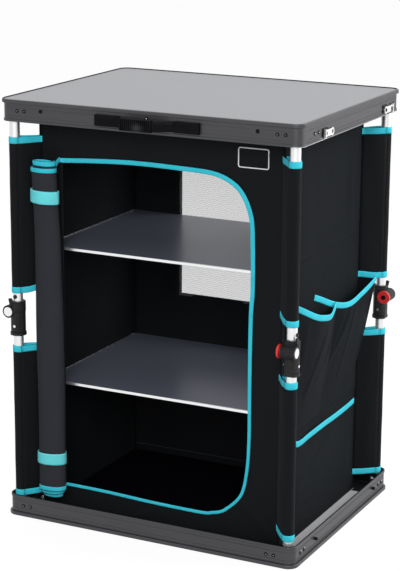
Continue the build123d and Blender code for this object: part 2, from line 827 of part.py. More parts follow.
save("top_rivets", [flipped(shape) for shape in all_round(rivet, *top_places)])
save("front_studs", front_studs)
save("handle_mounts", [handle_mount(side) for side in (-1, 1)])
save("handle_strap", [handle_strap(side) for side in (-1, 1)])
save("handle_grip", handle_grip())
save("hasp_plates", [hasp_plate(place) for place in hasp_places])
save("front_hasp", hasp(hasp_places[0] + hasp_span, -1, False))
save("rear_hasp", hasp(hasp_places[1], 1, True))

# Legs
for index, name in enumerate(corner_names):
    top_clearance = running_clearance if index == 0 else open_pivot_clearance
    save(f"lower_tube_{name}", at_corner(index, lower_tube()))
    save(f"lower_knuckle_{name}", at_corner(index, lower_knuckle()))
    save(f"knuckle_pin_{name}", [at_corner(index, piece) for piece in knuckle_pin()])
    save(f"upper_tube_{name}", at_corner(index, upper_tube(top_clearance)))
    save(f"upper_knuckle_{name}", [at_corner(index, upper_knuckle()), at_corner(index, snap_button())])
    save(f"release_button_{name}", at_corner(index, release_button()))
    save(f"lower_sleeve_{name}", at_corner(index, sleeve(lower_sleeve_bottom, lower_sleeve_top)))
    save(f"upper_sleeve_{name}", at_corner(index, sleeve(upper_sleeve_bottom, upper_sleeve_top)))

# Cabinet
flaps = []
for index in range(4):
    for side in ("along", "across"):
        flaps.append(at_corner(index, flap(side, lower_sleeve_bottom, lower_sleeve_top)))
        flaps.append(at_corner(index, flap(side, upper_sleeve_bottom, upper_sleeve_top)))
save("front_panel", [front_panel(), badge()])
save("cabinet_walls", cabinet_walls())
save("corner_flaps", flaps)
save("mesh_window", mesh_window())
save("door_roll", door_roll())
save("door_trim", [door_piping(), door_strap(lower_strap_bottom), door_strap(upper_strap_bottom)])
low_span = (front_pocket_span[0], rear_pocket_span[1])
upper_places = (upper_pocket_bottom, upper_pocket_top, pocket_sag)
low_pocket = pocket(low_span, lower_pocket_bulge, pocket_bottom, lower_pocket_top, 0)
rear_pocket = pocket(rear_pocket_span, rear_pocket_bulge, *upper_places)
front_pocket = pocket(front_pocket_span, front_pocket_bulge, *upper_places)
save("side_pockets", [low_pocket, rear_pocket, front_pocket - rear_pocket])
save("upper_shelf", shelf(upper_shelf_top))
save("lower_shelf", shelf(lower_shelf_top))
save("base_board", base_board())
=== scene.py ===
"""Looks of a folding camping cupboard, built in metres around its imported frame."""

import logging
import math
from collections import Counter
from dataclasses import dataclass
from enum import Enum
from typing import Optional, Sequence, Union

import bpy
from mathutils import Matrix, Vector, noise

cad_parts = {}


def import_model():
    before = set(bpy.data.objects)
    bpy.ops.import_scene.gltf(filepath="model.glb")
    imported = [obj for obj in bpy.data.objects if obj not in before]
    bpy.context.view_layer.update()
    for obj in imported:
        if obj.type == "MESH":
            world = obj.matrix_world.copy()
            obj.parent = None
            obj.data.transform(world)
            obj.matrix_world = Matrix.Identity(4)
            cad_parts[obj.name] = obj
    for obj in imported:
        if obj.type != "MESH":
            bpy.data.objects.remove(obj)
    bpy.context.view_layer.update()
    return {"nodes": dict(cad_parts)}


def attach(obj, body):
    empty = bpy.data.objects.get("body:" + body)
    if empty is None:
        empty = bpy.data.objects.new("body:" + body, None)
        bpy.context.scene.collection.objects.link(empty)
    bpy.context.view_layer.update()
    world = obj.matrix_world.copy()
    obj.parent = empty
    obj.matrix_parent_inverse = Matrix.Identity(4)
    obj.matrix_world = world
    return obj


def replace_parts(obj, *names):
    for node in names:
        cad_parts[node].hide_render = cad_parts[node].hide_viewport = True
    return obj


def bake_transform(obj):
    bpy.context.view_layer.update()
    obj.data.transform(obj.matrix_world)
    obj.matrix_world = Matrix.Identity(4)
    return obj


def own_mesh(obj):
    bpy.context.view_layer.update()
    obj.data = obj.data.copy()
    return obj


LOG = logging.getLogger("cupboard")
Triple = tuple[float, float, float]
Colour = Triple
Paint = Union[Colour, bpy.types.NodeSocket]
Grid = list[list[Vector]]
Faces = list[tuple[int, ...]]

UP = Vector((0, 0, 1))
ACROSS = Vector((1, 0, 0))
CORNER_NAMES = ("FL", "FR", "BR", "BL")
CORNER_SIGNS = ((-1, -1), (1, -1), (1, 1), (-1, 1))


# Shader expressions

class Value:
    """A number at one socket of a shader, for use in Python expressions."""

    def __init__(self, shader: "Shader", socket: bpy.types.NodeSocket) -> None:
        """Keep the socket.

        Args:
            shader: The shader that the socket belongs to.
            socket: The output that carries the number.
        """
        self.shader = shader
        self.socket = socket

    def __add__(self, other: "Term") -> "Value":
        """Return self + other."""
        return self.shader.math("ADD", self, other)

    def __radd__(self, other: "Term") -> "Value":
        """Return other + self."""
        return self.shader.math("ADD", other, self)

    def __sub__(self, other: "Term") -> "Value":
        """Return self - other."""
        return self.shader.math("SUBTRACT", self, other)

    def __rsub__(self, other: "Term") -> "Value":
        """Return other - self."""
        return self.shader.math("SUBTRACT", other, self)

    def __mul__(self, other: "Term") -> "Value":
        """Return self * other."""
        return self.shader.math("MULTIPLY", self, other)

    def __rmul__(self, other: "Term") -> "Value":
        """Return other * self."""
        return self.shader.math("MULTIPLY", other, self)

    def __truediv__(self, other: "Term") -> "Value":
        """Return self / other."""
        return self.shader.math("DIVIDE", self, other)

    def __rtruediv__(self, other: "Term") -> "Value":
        """Return other / self."""
        return self.shader.math("DIVIDE", other, self)

    def __pow__(self, other: "Term") -> "Value":
        """Return self to the power of other."""
        return self.shader.math("POWER", self, other)

    def __rpow__(self, other: "Term") -> "Value":
        """Return other to the power of self."""
        return self.shader.math("POWER", other, self)

    def __lt__(self, other: "Term") -> "Value":
        """Return 1 where self is below other, and 0 elsewhere."""
        return self.shader.math("LESS_THAN", self, other)

    def __gt__(self, other: "Term") -> "Value":
        """Return 1 where self is above other, and 0 elsewhere."""
        return self.shader.math("GREATER_THAN", self, other)


Term = Union[Value, float]


class Shader:
    """The node tree of a material or the world, with short ways to add to it."""

    def __init__(self, owner: Union[bpy.types.Material, bpy.types.World]) -> None:
        """Empty the node tree.

        Args:
            owner: The new material or world.
        """
        owner.use_nodes = True
        self.tree = owner.node_tree
        self.tree.nodes.clear()

    def node(self, kind: str, settings: dict, inputs: dict) -> bpy.types.Node:
        """Add one node.

        Args:
            kind: The node's type.
            settings: Its properties, set first.
            inputs: Values or links by the name or number of the socket.

        Returns:
            The node.
        """
        made = self.tree.nodes.new(kind)
        for key, setting in settings.items():
            setattr(made, key, setting)
        for key, given in inputs.items():
            given = given.socket if isinstance(given, Value) else given
            if isinstance(given, bpy.types.NodeSocket):
                self.tree.links.new(given, made.inputs[key])
            elif isinstance(given, tuple) and made.inputs[key].type == "RGBA":
                made.inputs[key].default_value = (*given, 1.0)
            else:
                made.inputs[key].default_value = given
        return made

    def math(self, operation: str, *terms: Term) -> Value:
        """Return the result of a Math node with that operation on the terms."""
        made = self.node("ShaderNodeMath", {"operation": operation}, dict(enumerate(terms)))
        return Value(self, made.outputs[0])

    def place(self) -> bpy.types.NodeSocket:
        """Return the point on the surface, in metres in the frame at rest."""
        return self.node("ShaderNodeTexCoord", {}, {}).outputs["Object"]

    def split(self, vector: bpy.types.NodeSocket) -> tuple[Value, ...]:
        """Return the three numbers of a vector."""
        made = self.node("ShaderNodeSeparateXYZ", {}, {0: vector})
        return tuple(Value(self, output) for output in made.outputs)

    def stretched(self, vector: bpy.types.NodeSocket, scale: Triple) -> bpy.types.NodeSocket:
        """Return the vector times a constant scale."""
        inputs = {0: vector, 1: scale}
        return self.node("ShaderNodeVectorMath", {"operation": "MULTIPLY"}, inputs).outputs[0]

    def noise(self, vector: bpy.types.NodeSocket, scale: float, detail: float = 2.0) -> Value:
        """Return a smooth noise from 0 to 1.

        Args:
            vector: The point to read it at.
            scale: Its frequency, in 1/m.
            detail: How many octaves it has.

        Returns:
            The noise.
        """
        inputs = {"Vector": vector, "Scale": scale, "Detail": detail}
        return Value(self, self.node("ShaderNodeTexNoise", {}, inputs).outputs[0])

    def sine(self, term: Value, pitch: float) -> Value:
        """Return a wave from -1 to 1 that repeats at the pitch, in metres."""
        return self.math("SINE", term * (2 * math.pi / pitch))

    def mixed(self, factor: Term, first: Paint, second: Paint) -> bpy.types.NodeSocket:
        """Return a colour between two, by the factor."""
        inputs = {0: factor, 6: first, 7: second}
        return self.node("ShaderNodeMix", {"data_type": "RGBA"}, inputs).outputs[2]

    def bump(self, height: Value, distance: float = 1.0) -> bpy.types.NodeSocket:
        """Return a normal from a height, of which 1 stands for the distance in metres."""
        inputs = {"Distance": distance, "Height": height}
        return self.node("ShaderNodeBump", {}, inputs).outputs[0]

    def close(self, inputs: dict) -> None:
        """End the tree in a Principled BSDF with those inputs."""
        surface = self.node("ShaderNodeBsdfPrincipled", {}, inputs)
        self.node("ShaderNodeOutputMaterial", {}, {0: surface.outputs[0]})


# Finishes

@dataclass(frozen=True)
class Finish:
    """A finish that a piece is given: its name, its slot in the record and its plain look."""

    name: str
    slot: str
    colour: Colour
    roughness: float

    def material(self) -> bpy.types.Material:
        """Return the finish's material, which is made on its first use.

        Returns:
            The material.
        """
        found = bpy.data.materials.get(self.name)
        if found is None:
            found = bpy.data.materials.new(self.name)
            self.paint(Shader(found))
        return found

    def paint(self, shader: Shader) -> None:
        """Draw the finish's nodes into an empty shader."""
        shader.close({"Base Color": self.colour, "Roughness": self.roughness})


@dataclass(frozen=True)
class WovenCloth(Finish):
    """Coated plain-weave cloth with a soft sheen and small rubbed marks."""

    light: Colour = (0.03, 0.034, 0.038)
    thread: float = 0.0009
    thread_depth: float = 0.00006
    crumple_depth: float = 0.0012
    sheen: float = 0.02
    specular: float = 0.10

    def paint(self, shader: Shader) -> None:
        """Draw threads both ways, soft clouds of colour and a faint crumple.

        Args:
            shader: The finish's empty shader.
        """
        place = shader.place()
        x, y, z = shader.split(place)
        weave = shader.sine(x + y, self.thread) * shader.sine(z, self.thread)
        clouds = shader.noise(place, 7.0, 3.0)
        crumple = shader.noise(shader.stretched(place, (1.0, 1.0, 0.45)), 26.0, 3.0)
        rubbed = shader.noise(place, 160.0)
        height = crumple * self.crumple_depth + weave * self.thread_depth
        shader.close({
            "Base Color": shader.mixed(clouds * 0.7 + rubbed * 0.3, self.colour, self.light),
            "Roughness": rubbed * 0.16 + (self.roughness - 0.08),
            "Normal": shader.bump(height),
            "Sheen Weight": self.sheen,
            "Sheen Roughness": 0.4,
            "Specular IOR Level": self.specular,
        })


@dataclass(frozen=True)
class BindingTape(Finish):
    """Ribbed binding tape with a patchy colour."""

    dark: Colour = (0.03, 0.33, 0.43)
    rib: float = 0.0016
    rib_depth: float = 0.00008
    crumple_depth: float = 0.0006

    def paint(self, shader: Shader) -> None:
        """Draw fine ribs, a patchy colour and a small crumple.

        Args:
            shader: The finish's empty shader.
        """
        place = shader.place()
        x, y, z = shader.split(place)
        ribs = shader.sine(x + y, self.rib) * 0.5 + shader.sine(z, self.rib) * 0.5
        patches = shader.noise(place, 45.0, 3.0)
        crumple = shader.noise(place, 120.0, 3.0)
        shader.close({
            "Base Color": shader.mixed(patches ** 2.0, self.colour, self.dark),
            "Roughness": crumple * 0.2 + (self.roughness - 0.1),
            "Normal": shader.bump(crumple * self.crumple_depth + ribs * self.rib_depth),
            "Sheen Weight": 0.06,
            "Sheen Roughness": 0.4,
            "Specular IOR Level": 0.2,
        })


@dataclass(frozen=True)
class Netting(Finish):
    """Sheer net, seen through between and, less, at its slanted threads."""

    gap: Colour = (0.30, 0.30, 0.32)
    pitch: float = 0.0046
    thread: float = 0.15
    veil: float = 0.16

    def paint(self, shader: Shader) -> None:
        """Draw slanted wavy threads that are lighter and less clear than the gaps.

        Args:
            shader: The finish's empty shader.
        """
        place = shader.place()
        x, _, z = shader.split(place)
        wave = shader.sine(x + z * 0.4, 0.013) * 0.0009
        first = shader.sine(z - x * 0.38 + wave, self.pitch)
        second = shader.sine(x + z * 0.3, self.pitch * 0.7)
        thread = shader.math("MAXIMUM", first, second * 0.5) * 0.5 + 0.5
        shader.close({
            "Base Color": shader.mixed(thread, self.gap, self.colour),
            "Roughness": thread * 0.1 + self.roughness,
            "Alpha": thread * self.thread + self.veil,
            "Normal": shader.bump(thread, 0.0004),
            "Specular IOR Level": 0.1,
        })


@dataclass(frozen=True)
class DrawnMetal(Finish):
    """Drawn metal with fine lines along its length and a patchy anodising."""

    light: Colour = (0.2, 0.2, 0.21)
    grain: Triple = (3.0, 3.0, 1500.0)
    metallic: float = 0.75

    def paint(self, shader: Shader) -> None:
        """Draw lines along the section, long streaks and small rubbed spots.

        Args:
            shader: The finish's empty shader.
        """
        place = shader.place()
        lines = shader.noise(shader.stretched(place, self.grain), 1.0, 3.0)
        broad = shader.noise(shader.stretched(place, (1.0, 1.0, 8.0)), 6.0, 3.0)
        spots = shader.noise(place, 350.0)
        shader.close({
            "Base Color": shader.mixed(lines * 0.55 + broad * 0.45, self.colour, self.light),
            "Roughness": lines * 0.16 + spots * 0.08 + (self.roughness - 0.12),
            "Metallic": self.metallic,
            "Normal": shader.bump(lines, 0.00005),
        })


@dataclass(frozen=True)
class Laminate(Finish):
    """Flat satin laminate with a faint mottle and rubbed patches."""

    light: Colour = (0.3, 0.3, 0.31)
    specular: float = 0.5
    mottle_depth: float = 0.00005

    def wear(self, shader: Shader) -> tuple[Value, Value, bpy.types.NodeSocket]:
        """Return the mottle, the patches that wiping has polished, and the colour of both.

        Args:
            shader: The finish's empty shader.

        Returns:
            The two noises, and the colour's socket.
        """
        place = shader.place()
        mottle = shader.noise(place, 420.0, 3.0)
        patches = shader.noise(place, 5.0, 4.0)
        colour = shader.mixed(mottle * 0.5 + patches * 0.5, self.colour, self.light)
        return mottle, patches, colour

    def paint(self, shader: Shader) -> None:
        """Draw the mottle and the patches.

        Args:
            shader: The finish's empty shader.
        """
        mottle, patches, colour = self.wear(shader)
        shader.close({
            "Base Color": colour,
            "Roughness": patches * 0.12 + mottle * 0.05 + (self.roughness - 0.08),
            "Normal": shader.bump(mottle, self.mottle_depth),
            "Specular IOR Level": self.specular,
        })


@dataclass(frozen=True)
class EdgedBoard(Laminate):
    """Dark shelf board whose front strip is bright metal."""

    strip_back: float = -0.1713
    strip: Colour = (0.86, 0.87, 0.88)

    def paint(self, shader: Shader) -> None:
        """Draw the laminate, and bright metal in front of the strip's back.

        Args:
            shader: The finish's empty shader.
        """
        mottle, patches, board = self.wear(shader)
        mask = shader.split(shader.place())[1] < self.strip_back
        rough = patches * 0.12 + (self.roughness - 0.08)
        shader.close({
            "Base Color": shader.mixed(mask, board, self.strip),
            "Roughness": rough * (1 - mask) + mask * 0.3,
            "Metallic": mask * 0.9,
            "Normal": shader.bump(mottle, self.mottle_depth),
        })


class Grain(Enum):
    """Surface of a moulded piece."""

    FINE = "fine"
    DIAMOND = "diamond"
    RIBBED = "ribbed"


@dataclass(frozen=True)
class Moulding(Finish):
    """Moulded plastic or dark plated metal with a grain.

    Where worn is given, it is the x and z of the middle of a place that is rubbed shiny.
    """

    grain: Grain = Grain.FINE
    coat: float = 0.0
    specular: float = 0.25
    worn: Optional[tuple[float, float]] = None
    worn_size: tuple[float, float] = (0.009, 0.0060)

    def paint(self, shader: Shader) -> None:
        """Draw the grain and a slight change of gloss.

        Args:
            shader: The finish's empty shader.
        """
        place = shader.place()
        x, y, z = shader.split(place)
        rubbed = shader.noise(place, 60.0, 3.0)
        height = shader.noise(place, 1400.0) * 0.00004
        if self.grain is Grain.DIAMOND:
            around = x + y
            crossed = shader.sine(around + z, 0.0062) * shader.sine(around - z, 0.0062)
            height = height + crossed * 0.0005
        if self.grain is Grain.RIBBED:
            height = height + shader.sine(x, 0.0036) * 0.0009
        coat: Term = self.coat
        if self.worn is not None:
            away = (x - self.worn[0]) / self.worn_size[0]
            drop = (z - self.worn[1]) / self.worn_size[1]
            coat = shader.math("EXPONENT", 0.0 - away * away - drop * drop)
        light = tuple(min(1.0, channel * 1.8 + 0.006) for channel in self.colour)
        shader.close({
            "Base Color": shader.mixed(rubbed, self.colour, light),
            "Roughness": rubbed * 0.18 + (self.roughness - 0.09),
            "Normal": shader.bump(height),
            "Coat Weight": coat,
            "Coat Roughness": 0.15,
            "Specular IOR Level": self.specular,
        })


BLACK_CLOTH = WovenCloth(
    "black_cloth", "black_fabric", (0.0042, 0.0048, 0.0060), 0.72,
    light=(0.0072, 0.0082, 0.0100))
# The side walls' and pockets' cloth is the black cloth made lighter, for the sides that the key
# lamp falls on: painted light.
SIDE_CLOTH_PAINTED_LIGHT = WovenCloth(
    "side_cloth_painted_light", "black_fabric", (0.0078, 0.0093, 0.0113), 0.66,
    light=(0.0126, 0.0150, 0.0178), specular=0.02)
LINING_CLOTH = WovenCloth(
    "lining_cloth", "black_fabric", (0.030, 0.031, 0.038), 0.8,
    light=(0.042, 0.043, 0.052), crumple_depth=0.0018)
TAPE = BindingTape(
    "binding_tape", "trim_fabric", (0.050, 0.70, 0.86), 0.65, dark=(0.032, 0.54, 0.69))
STRAP_TAPE = BindingTape(
    "strap_tape", "trim_fabric", (0.19, 0.90, 0.95), 0.65, dark=(0.13, 0.78, 0.86))
# Dark copy of the binding tape's cyan, for the cords at the foot of the roll's bindings: painted
# shade.
PAINTED_SHADE_TAPE = Finish("painted_shade_tape", "black_fabric", (0.004, 0.03, 0.04), 0.8)
NET = Netting("net", "net_fabric", (0.50, 0.50, 0.52), 0.7)
PATCH_THREAD = Finish("patch_thread", "net_fabric", (0.95, 0.95, 0.96), 0.7)
FRAME_METAL = DrawnMetal(
    "anodised_frame", "frame_metal", (0.0465, 0.0465, 0.0510), 0.38,
    light=(0.087, 0.087, 0.094), metallic=0.7)
# A lighter copy of the frame's metal, for the cord on the top tray's lower lip: painted highlight.
LIP_HIGHLIGHT_METAL = DrawnMetal(
    "lip_highlight_metal", "frame_metal", (0.30, 0.30, 0.31), 0.35,
    light=(0.42, 0.42, 0.43), metallic=0.8)
TUBE_METAL = DrawnMetal(
    "anodised_tube", "tube_metal", (0.72, 0.72, 0.73), 0.36,
    light=(0.86, 0.86, 0.87), grain=(900.0, 900.0, 3.0), metallic=0.85)
STEEL = DrawnMetal(
    "pressed_steel", "bright_steel", (0.80, 0.80, 0.81), 0.28,
    light=(0.93, 0.93, 0.93), grain=(200.0, 200.0, 200.0), metallic=0.9)
RIVET_STEEL = Moulding(
    "rivet_steel", "bright_steel", (0.003, 0.003, 0.004), 0.3, specular=0.10)
TABLE_LAMINATE = Laminate(
    "table_laminate", "laminate", (0.212, 0.215, 0.228), 0.42, light=(0.278, 0.282, 0.302))
# The tray's floor panel is the table's grey laminate made much lighter, to make up for the shade
# that it lies in: painted light.
FLOOR_LAMINATE_PAINTED_LIGHT = Laminate(
    "floor_laminate_painted_light", "laminate", (0.62, 0.62, 0.64), 0.5, light=(0.74, 0.74, 0.76))
# The shelves' laminate is made much lighter than the board's own dark navy, to make up for the dim
# light inside the cabinet: painted light and painted reflection.
SHELF_BOARD_PAINTED_LIGHT = EdgedBoard(
    "shelf_board_painted_light", "shelf_laminate", (0.114, 0.122, 0.166), 0.34,
    light=(0.152, 0.161, 0.210))
# The cabinet's base board is the shelves' laminate made nearly black, with little gloss: painted
# shade of the cabinet's inside.
BASE_BOARD_PAINTED_SHADE = Laminate(
    "base_board", "shelf_laminate", (0.002, 0.002, 0.004), 0.7,
    light=(0.003, 0.003, 0.006), specular=0.03)
BLACK_MOULDING = Moulding(
    "black_moulding", "black_plastic", (0.003, 0.003, 0.004), 0.34, specular=0.035)
KNUCKLE_MOULDING = Moulding(
    "knuckle_moulding", "black_plastic", (0.006, 0.006, 0.007), 0.45,
    grain=Grain.DIAMOND, specular=0.2)
GRIP_MOULDING = Moulding(
    "grip_moulding", "black_plastic", (0.003, 0.003, 0.004), 0.25,
    grain=Grain.RIBBED, specular=0.05, worn=(-0.004, 0.7730))
BLACK_OXIDE = Moulding("black_oxide", "black_metal", (0.003, 0.003, 0.004), 0.3, specular=0.08)
RED_MOULDING = Moulding("red_moulding", "red_plastic", (0.50, 0.02, 0.02), 0.35, coat=0.4)


# Curves and numbers

def ramp(value: float, low: float, high: float) -> float:
    """Return 0 below low, 1 above high, and a smooth step between."""
    t = min(1.0, max(0.0, (value - low) / (high - low)))
    return t * t * (3 - 2 * t)


def spread(low: float, high: float, count: int) -> list[float]:
    """Return evenly spaced numbers from low to high."""
    return [low + (high - low) * number / (count - 1) for number in range(count)]


def bent(terms: Triple, t: float) -> float:
    """Return a value that changes with t, by its three terms in 1, t and t squared."""
    return terms[0] + terms[1] * t + terms[2] * t ** 2


def wavy(x: float, y: float, z: float) -> float:
    """Return a smooth noise from about -1 to 1 at a place."""
    return noise.noise(Vector((x, y, z)))


def arc(first: float, last: float, count: int) -> list[tuple[float, float]]:
    """Return evenly spaced points of the unit circle, between two angles in degrees."""
    angles = [math.radians(angle) for angle in spread(first, last, count)]
    return [(math.cos(angle), math.sin(angle)) for angle in angles]


def circle(count: int) -> list[tuple[float, float]]:
    """Return evenly spaced points all round the unit circle."""
    return arc(0.0, 360.0, count + 1)[:-1]


def smooth_path(points: Sequence[Vector], steps: int) -> list[Vector]:
    """Return a smooth curve through points.

    Args:
        points: The points it passes through.
        steps: How many steps it takes between two of them.

    Returns:
        The curve's points.
    """
    ends = [points[0] * 2 - points[1], *points, points[-1] * 2 - points[-2]]
    made = []
    for a, b, c, d in zip(ends, ends[1:], ends[2:], ends[3:]):
        for step in range(steps):
            t = step / steps
            even = (2 * a - 5 * b + 4 * c - d) * t ** 2
            odd = (3 * b - a - 3 * c + d) * t ** 3
            made.append(0.5 * ((2 * b) + (c - a) * t + even + odd))
    made.append(points[-1].copy())
    return made


def heading(path: Sequence[Vector], number: int, closed: bool = False) -> Vector:
    """Return the direction of a path at one of its points.

    Args:
        path: The path's points.
        number: Which point it is.
        closed: Whether the path runs back to its start.

    Returns:
        The direction, of length 1.
    """
    if closed:
        return (path[(number + 1) % len(path)] - path[number - 1]).normalized()
    return (path[min(number + 1, len(path) - 1)] - path[max(number - 1, 0)]).normalized()


def path_length(path: Sequence[Vector]) -> float:
    """Return the length of a path."""
    return sum((after - before).length for before, after in zip(path, path[1:]))


def grid_area(grid: Grid) -> float:
    """Return the area of the faces between a grid's points.

    Args:
        grid: Rows of points, all of one length.

    Returns:
        The area, in square metres.
    """
    return sum(
        (b - a).cross(c - a).length / 2 + (c - d).cross(a - d).length / 2
        for low, high in zip(grid, grid[1:])
        for a, b, c, d in zip(low, low[1:], high[1:], high))


# Making meshes

def quads(rows: int, columns: int, rows_close: bool = False, columns_close: bool = False) -> Faces:
    """Return the faces between the points of a grid, which are numbered row by row.

    Args:
        rows: How many rows there are.
        columns: How many points each row has.
        rows_close: Whether the last row joins the first.
        columns_close: Whether each row runs back to its start.

    Returns:
        The faces.
    """
    faces = []
    for row in range(rows if rows_close else rows - 1):
        start, above = row * columns, (row + 1) % rows * columns
        for column in range(columns if columns_close else columns - 1):
            after = (column + 1) % columns
            faces.append((start + column, start + after, above + after, above + column))
    return faces


def mesh_object(
    name: str, points: Sequence[Vector], faces: Sequence[Sequence[int]], finish: Finish
) -> bpy.types.Object:
    """Make a smooth-shaded object.

    Args:
        name: The piece's name.
        points: Its vertices, in the frame.
        faces: Its faces, as numbers of vertices.
        finish: What it is finished with.

    Returns:
        The object, which rides on nothing yet.
    """
    mesh = bpy.data.meshes.new(name)
    mesh.from_pydata([tuple(point) for point in points], [], [tuple(face) for face in faces])
    mesh.update()
    mesh.polygons.foreach_set("use_smooth", [True] * len(mesh.polygons))
    made = bpy.data.objects.new(name, mesh)
    bpy.context.scene.collection.objects.link(made)
    mesh.materials.append(finish.material())
    return made


def pierced_sheet(
    name: str, points: Sequence[Vector], faces: Faces, finish: Finish, thickness: float
) -> bpy.types.Object:
    """Make a sheet from some of a grid's faces, without the points that they don't use.

    Args:
        name: The piece's name.
        points: The grid's points.
        faces: The faces that are there.
        finish: What it is finished with.
        thickness: Its thickness, half to each side of the points.

    Returns:
        The object.
    """
    used = sorted({number for face in faces for number in face})
    renumbered = {old: new for new, old in enumerate(used)}
    left = [[renumbered[number] for number in face] for face in faces]
    made = mesh_object(name, [points[number] for number in used], left, finish)
    solid = made.modifiers.new("thickness", "SOLIDIFY")
    solid.thickness = thickness
    solid.offset = 0.0
    return made


def sheet_object(
    name: str, grid: Grid, finish: Finish, thickness: float, closed: bool = False
) -> bpy.types.Object:
    """Make a sheet from a grid of points, with a thickness.

    Args:
        name: The piece's name.
        grid: Rows of points, all of one length.
        finish: What it is finished with.
        thickness: Its thickness, half to each side of the points.
        closed: Whether each row runs back to its start.

    Returns:
        The object.
    """
    faces = quads(len(grid), len(grid[0]), columns_close=closed)
    return pierced_sheet(name, [point for row in grid for point in row], faces, finish, thickness)


def sweep(
    name: str,
    path: Sequence[Vector],
    sides: Union[Vector, Sequence[Vector]],
    sections: Sequence[Sequence[tuple[float, float]]],
    finish: Finish,
    closed: bool,
) -> bpy.types.Object:
    """Sweep a section along a path.

    Args:
        name: The piece's name.
        path: The points that it follows.
        sides: The direction of the section's first axis, for the whole path or at each point.
        sections: The section at each point, all with one number of points.
        finish: What it is finished with.
        closed: Whether the path runs back to its start.

    Returns:
        The object.
    """
    points = []
    for number, (here, section) in enumerate(zip(path, sections)):
        given = sides if isinstance(sides, Vector) else sides[number]
        along = heading(path, number, closed)
        side = (given - along * given.dot(along)).normalized()
        out = along.cross(side)
        points += [here + side * a + out * b for a, b in section]
    total, count = len(path), len(sections[0])
    faces = quads(total, count, rows_close=closed, columns_close=True)
    if not closed:
        faces.append(tuple(range(count)))
        faces.append(tuple(reversed(range((total - 1) * count, total * count))))
    return mesh_object(name, points, faces, finish)


def tape_object(
    name: str,
    path: Sequence[Vector],
    sides: Union[Vector, Sequence[Vector]],
    width: Union[float, Sequence[float]],
    thickness: float,
    finish: Finish,
    closed: bool = False,
) -> bpy.types.Object:
    """Make a flat tape with rounded edges along a path.

    Args:
        name: The piece's name.
        path: The points that its middle follows.
        sides: The direction of its width, for the whole path or at each point.
        width: Its width, for the whole path or at each point.
        thickness: Its thickness.
        finish: What it is finished with.
        closed: Whether the path runs back to its start.

    Returns:
        The object.
    """
    thin = thickness / 2
    widths = [width] * len(path) if isinstance(width, float) else width
    upper = [(-0.5, 0.0), (-0.46, thin * 0.8), (-0.25, thin), (0.25, thin), (0.46, thin * 0.8)]
    outline = upper + [(-a, -b) for a, b in upper]
    sections = [[(a * wide, b) for a, b in outline] for wide in widths]
    return sweep(name, path, sides, sections, finish, closed)


def cord_object(
    name: str, path: Sequence[Vector], radius: float, finish: Finish, closed: bool = False
) -> bpy.types.Object:
    """Make a round cord or bead along a path.

    Args:
        name: The piece's name.
        path: The points that it follows.
        radius: Its radius.
        finish: What it is finished with.
        closed: Whether the path runs back to its start.

    Returns:
        The object.
    """
    section = [(radius * c, radius * s) for c, s in circle(8)]
    side = Vector((0.31, 0.22, 0.92))
    return sweep(name, path, side, [section] * len(path), finish, closed)


def plate_object(
    name: str, first: Sequence[Vector], second: Sequence[Vector], finish: Finish
) -> bpy.types.Object:
    """Make a flat-shaded plate between two outlines.

    Args:
        name: The piece's name.
        first: The outline of one face.
        second: The outline of the other, point for point.
        finish: What it is finished with.

    Returns:
        The object.
    """
    count = len(first)
    faces = [tuple(range(count)), tuple(range(2 * count - 1, count - 1, -1))]
    faces += quads(2, count, columns_close=True)
    made = mesh_object(name, [*first, *second], faces, finish)
    made.data.polygons.foreach_set("use_smooth", [False] * len(faces))
    return made


@dataclass(frozen=True)
class Crease:
    """One fold in a flat sheet, between two points of it."""

    start: tuple[float, float]
    end: tuple[float, float]
    depth: float
    width: float

    def height(self, a: float, b: float) -> float:
        """Return how far the fold lifts the sheet at a point of it.

        Args:
            a: The point's first place in the sheet.
            b: Its second place.

        Returns:
            The height.
        """
        start, end, point = Vector(self.start), Vector(self.end), Vector((a, b))
        run = end - start
        t = min(1.0, max(0.0, (point - start).dot(run) / run.length_squared))
        away = (point - start - run * t).length
        fade = math.sin(math.pi * min(1.0, 0.12 + 0.88 * t)) ** 0.6 if t < 1.0 else 0.0
        return self.depth * fade * math.exp(-((away / self.width) ** 2))


@dataclass
class Corner:
    """One corner of the trays, with the frame that its leg stands in.

    In that frame the leg is the Z axis and folds towards +X, and the tray's walls are towards -X
    and -Y. Each corner is a quarter turn on from the last.
    """

    index: int
    inset_x: float = 0.2785
    inset_y: float = 0.2135

    @property
    def name(self) -> str:
        """Name of the corner, as the CAD bodies have it."""
        return CORNER_NAMES[self.index]

    def point(self, x: float, y: float, z: float) -> Vector:
        """Return a point of the corner's frame in the cupboard's.

        Args:
            x: Its place along the way that the leg folds.
            y: Its place across that.
            z: Its height.

        Returns:
            The point.
        """
        sign_x, sign_y = CORNER_SIGNS[self.index]
        turned = Matrix.Rotation(math.radians(90 * self.index), 3, "Z") @ Vector((x, y, z))
        return turned + Vector((sign_x * self.inset_x, sign_y * self.inset_y, 0.0))

    def around(self, reach: float, angle: float, z: float) -> Vector:
        """Return a point at a distance and an angle from the leg's axis."""
        return self.point(reach * math.cos(angle), reach * math.sin(angle), z)


@dataclass
class Folding:
    """Puts soft pieces on the bottom tray."""

    joint: str = "fold"
    anchor: float = 0.0056
    keep: float = 0.006

    def collapse(self, piece: bpy.types.Object) -> bpy.types.Object:
        """Return a piece after putting it on the bottom tray and giving it its own mesh.

        Args:
            piece: The soft piece.

        Returns:
            The same piece.
        """
        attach(piece, "root")
        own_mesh(piece)
        return piece


# Sub-assemblies

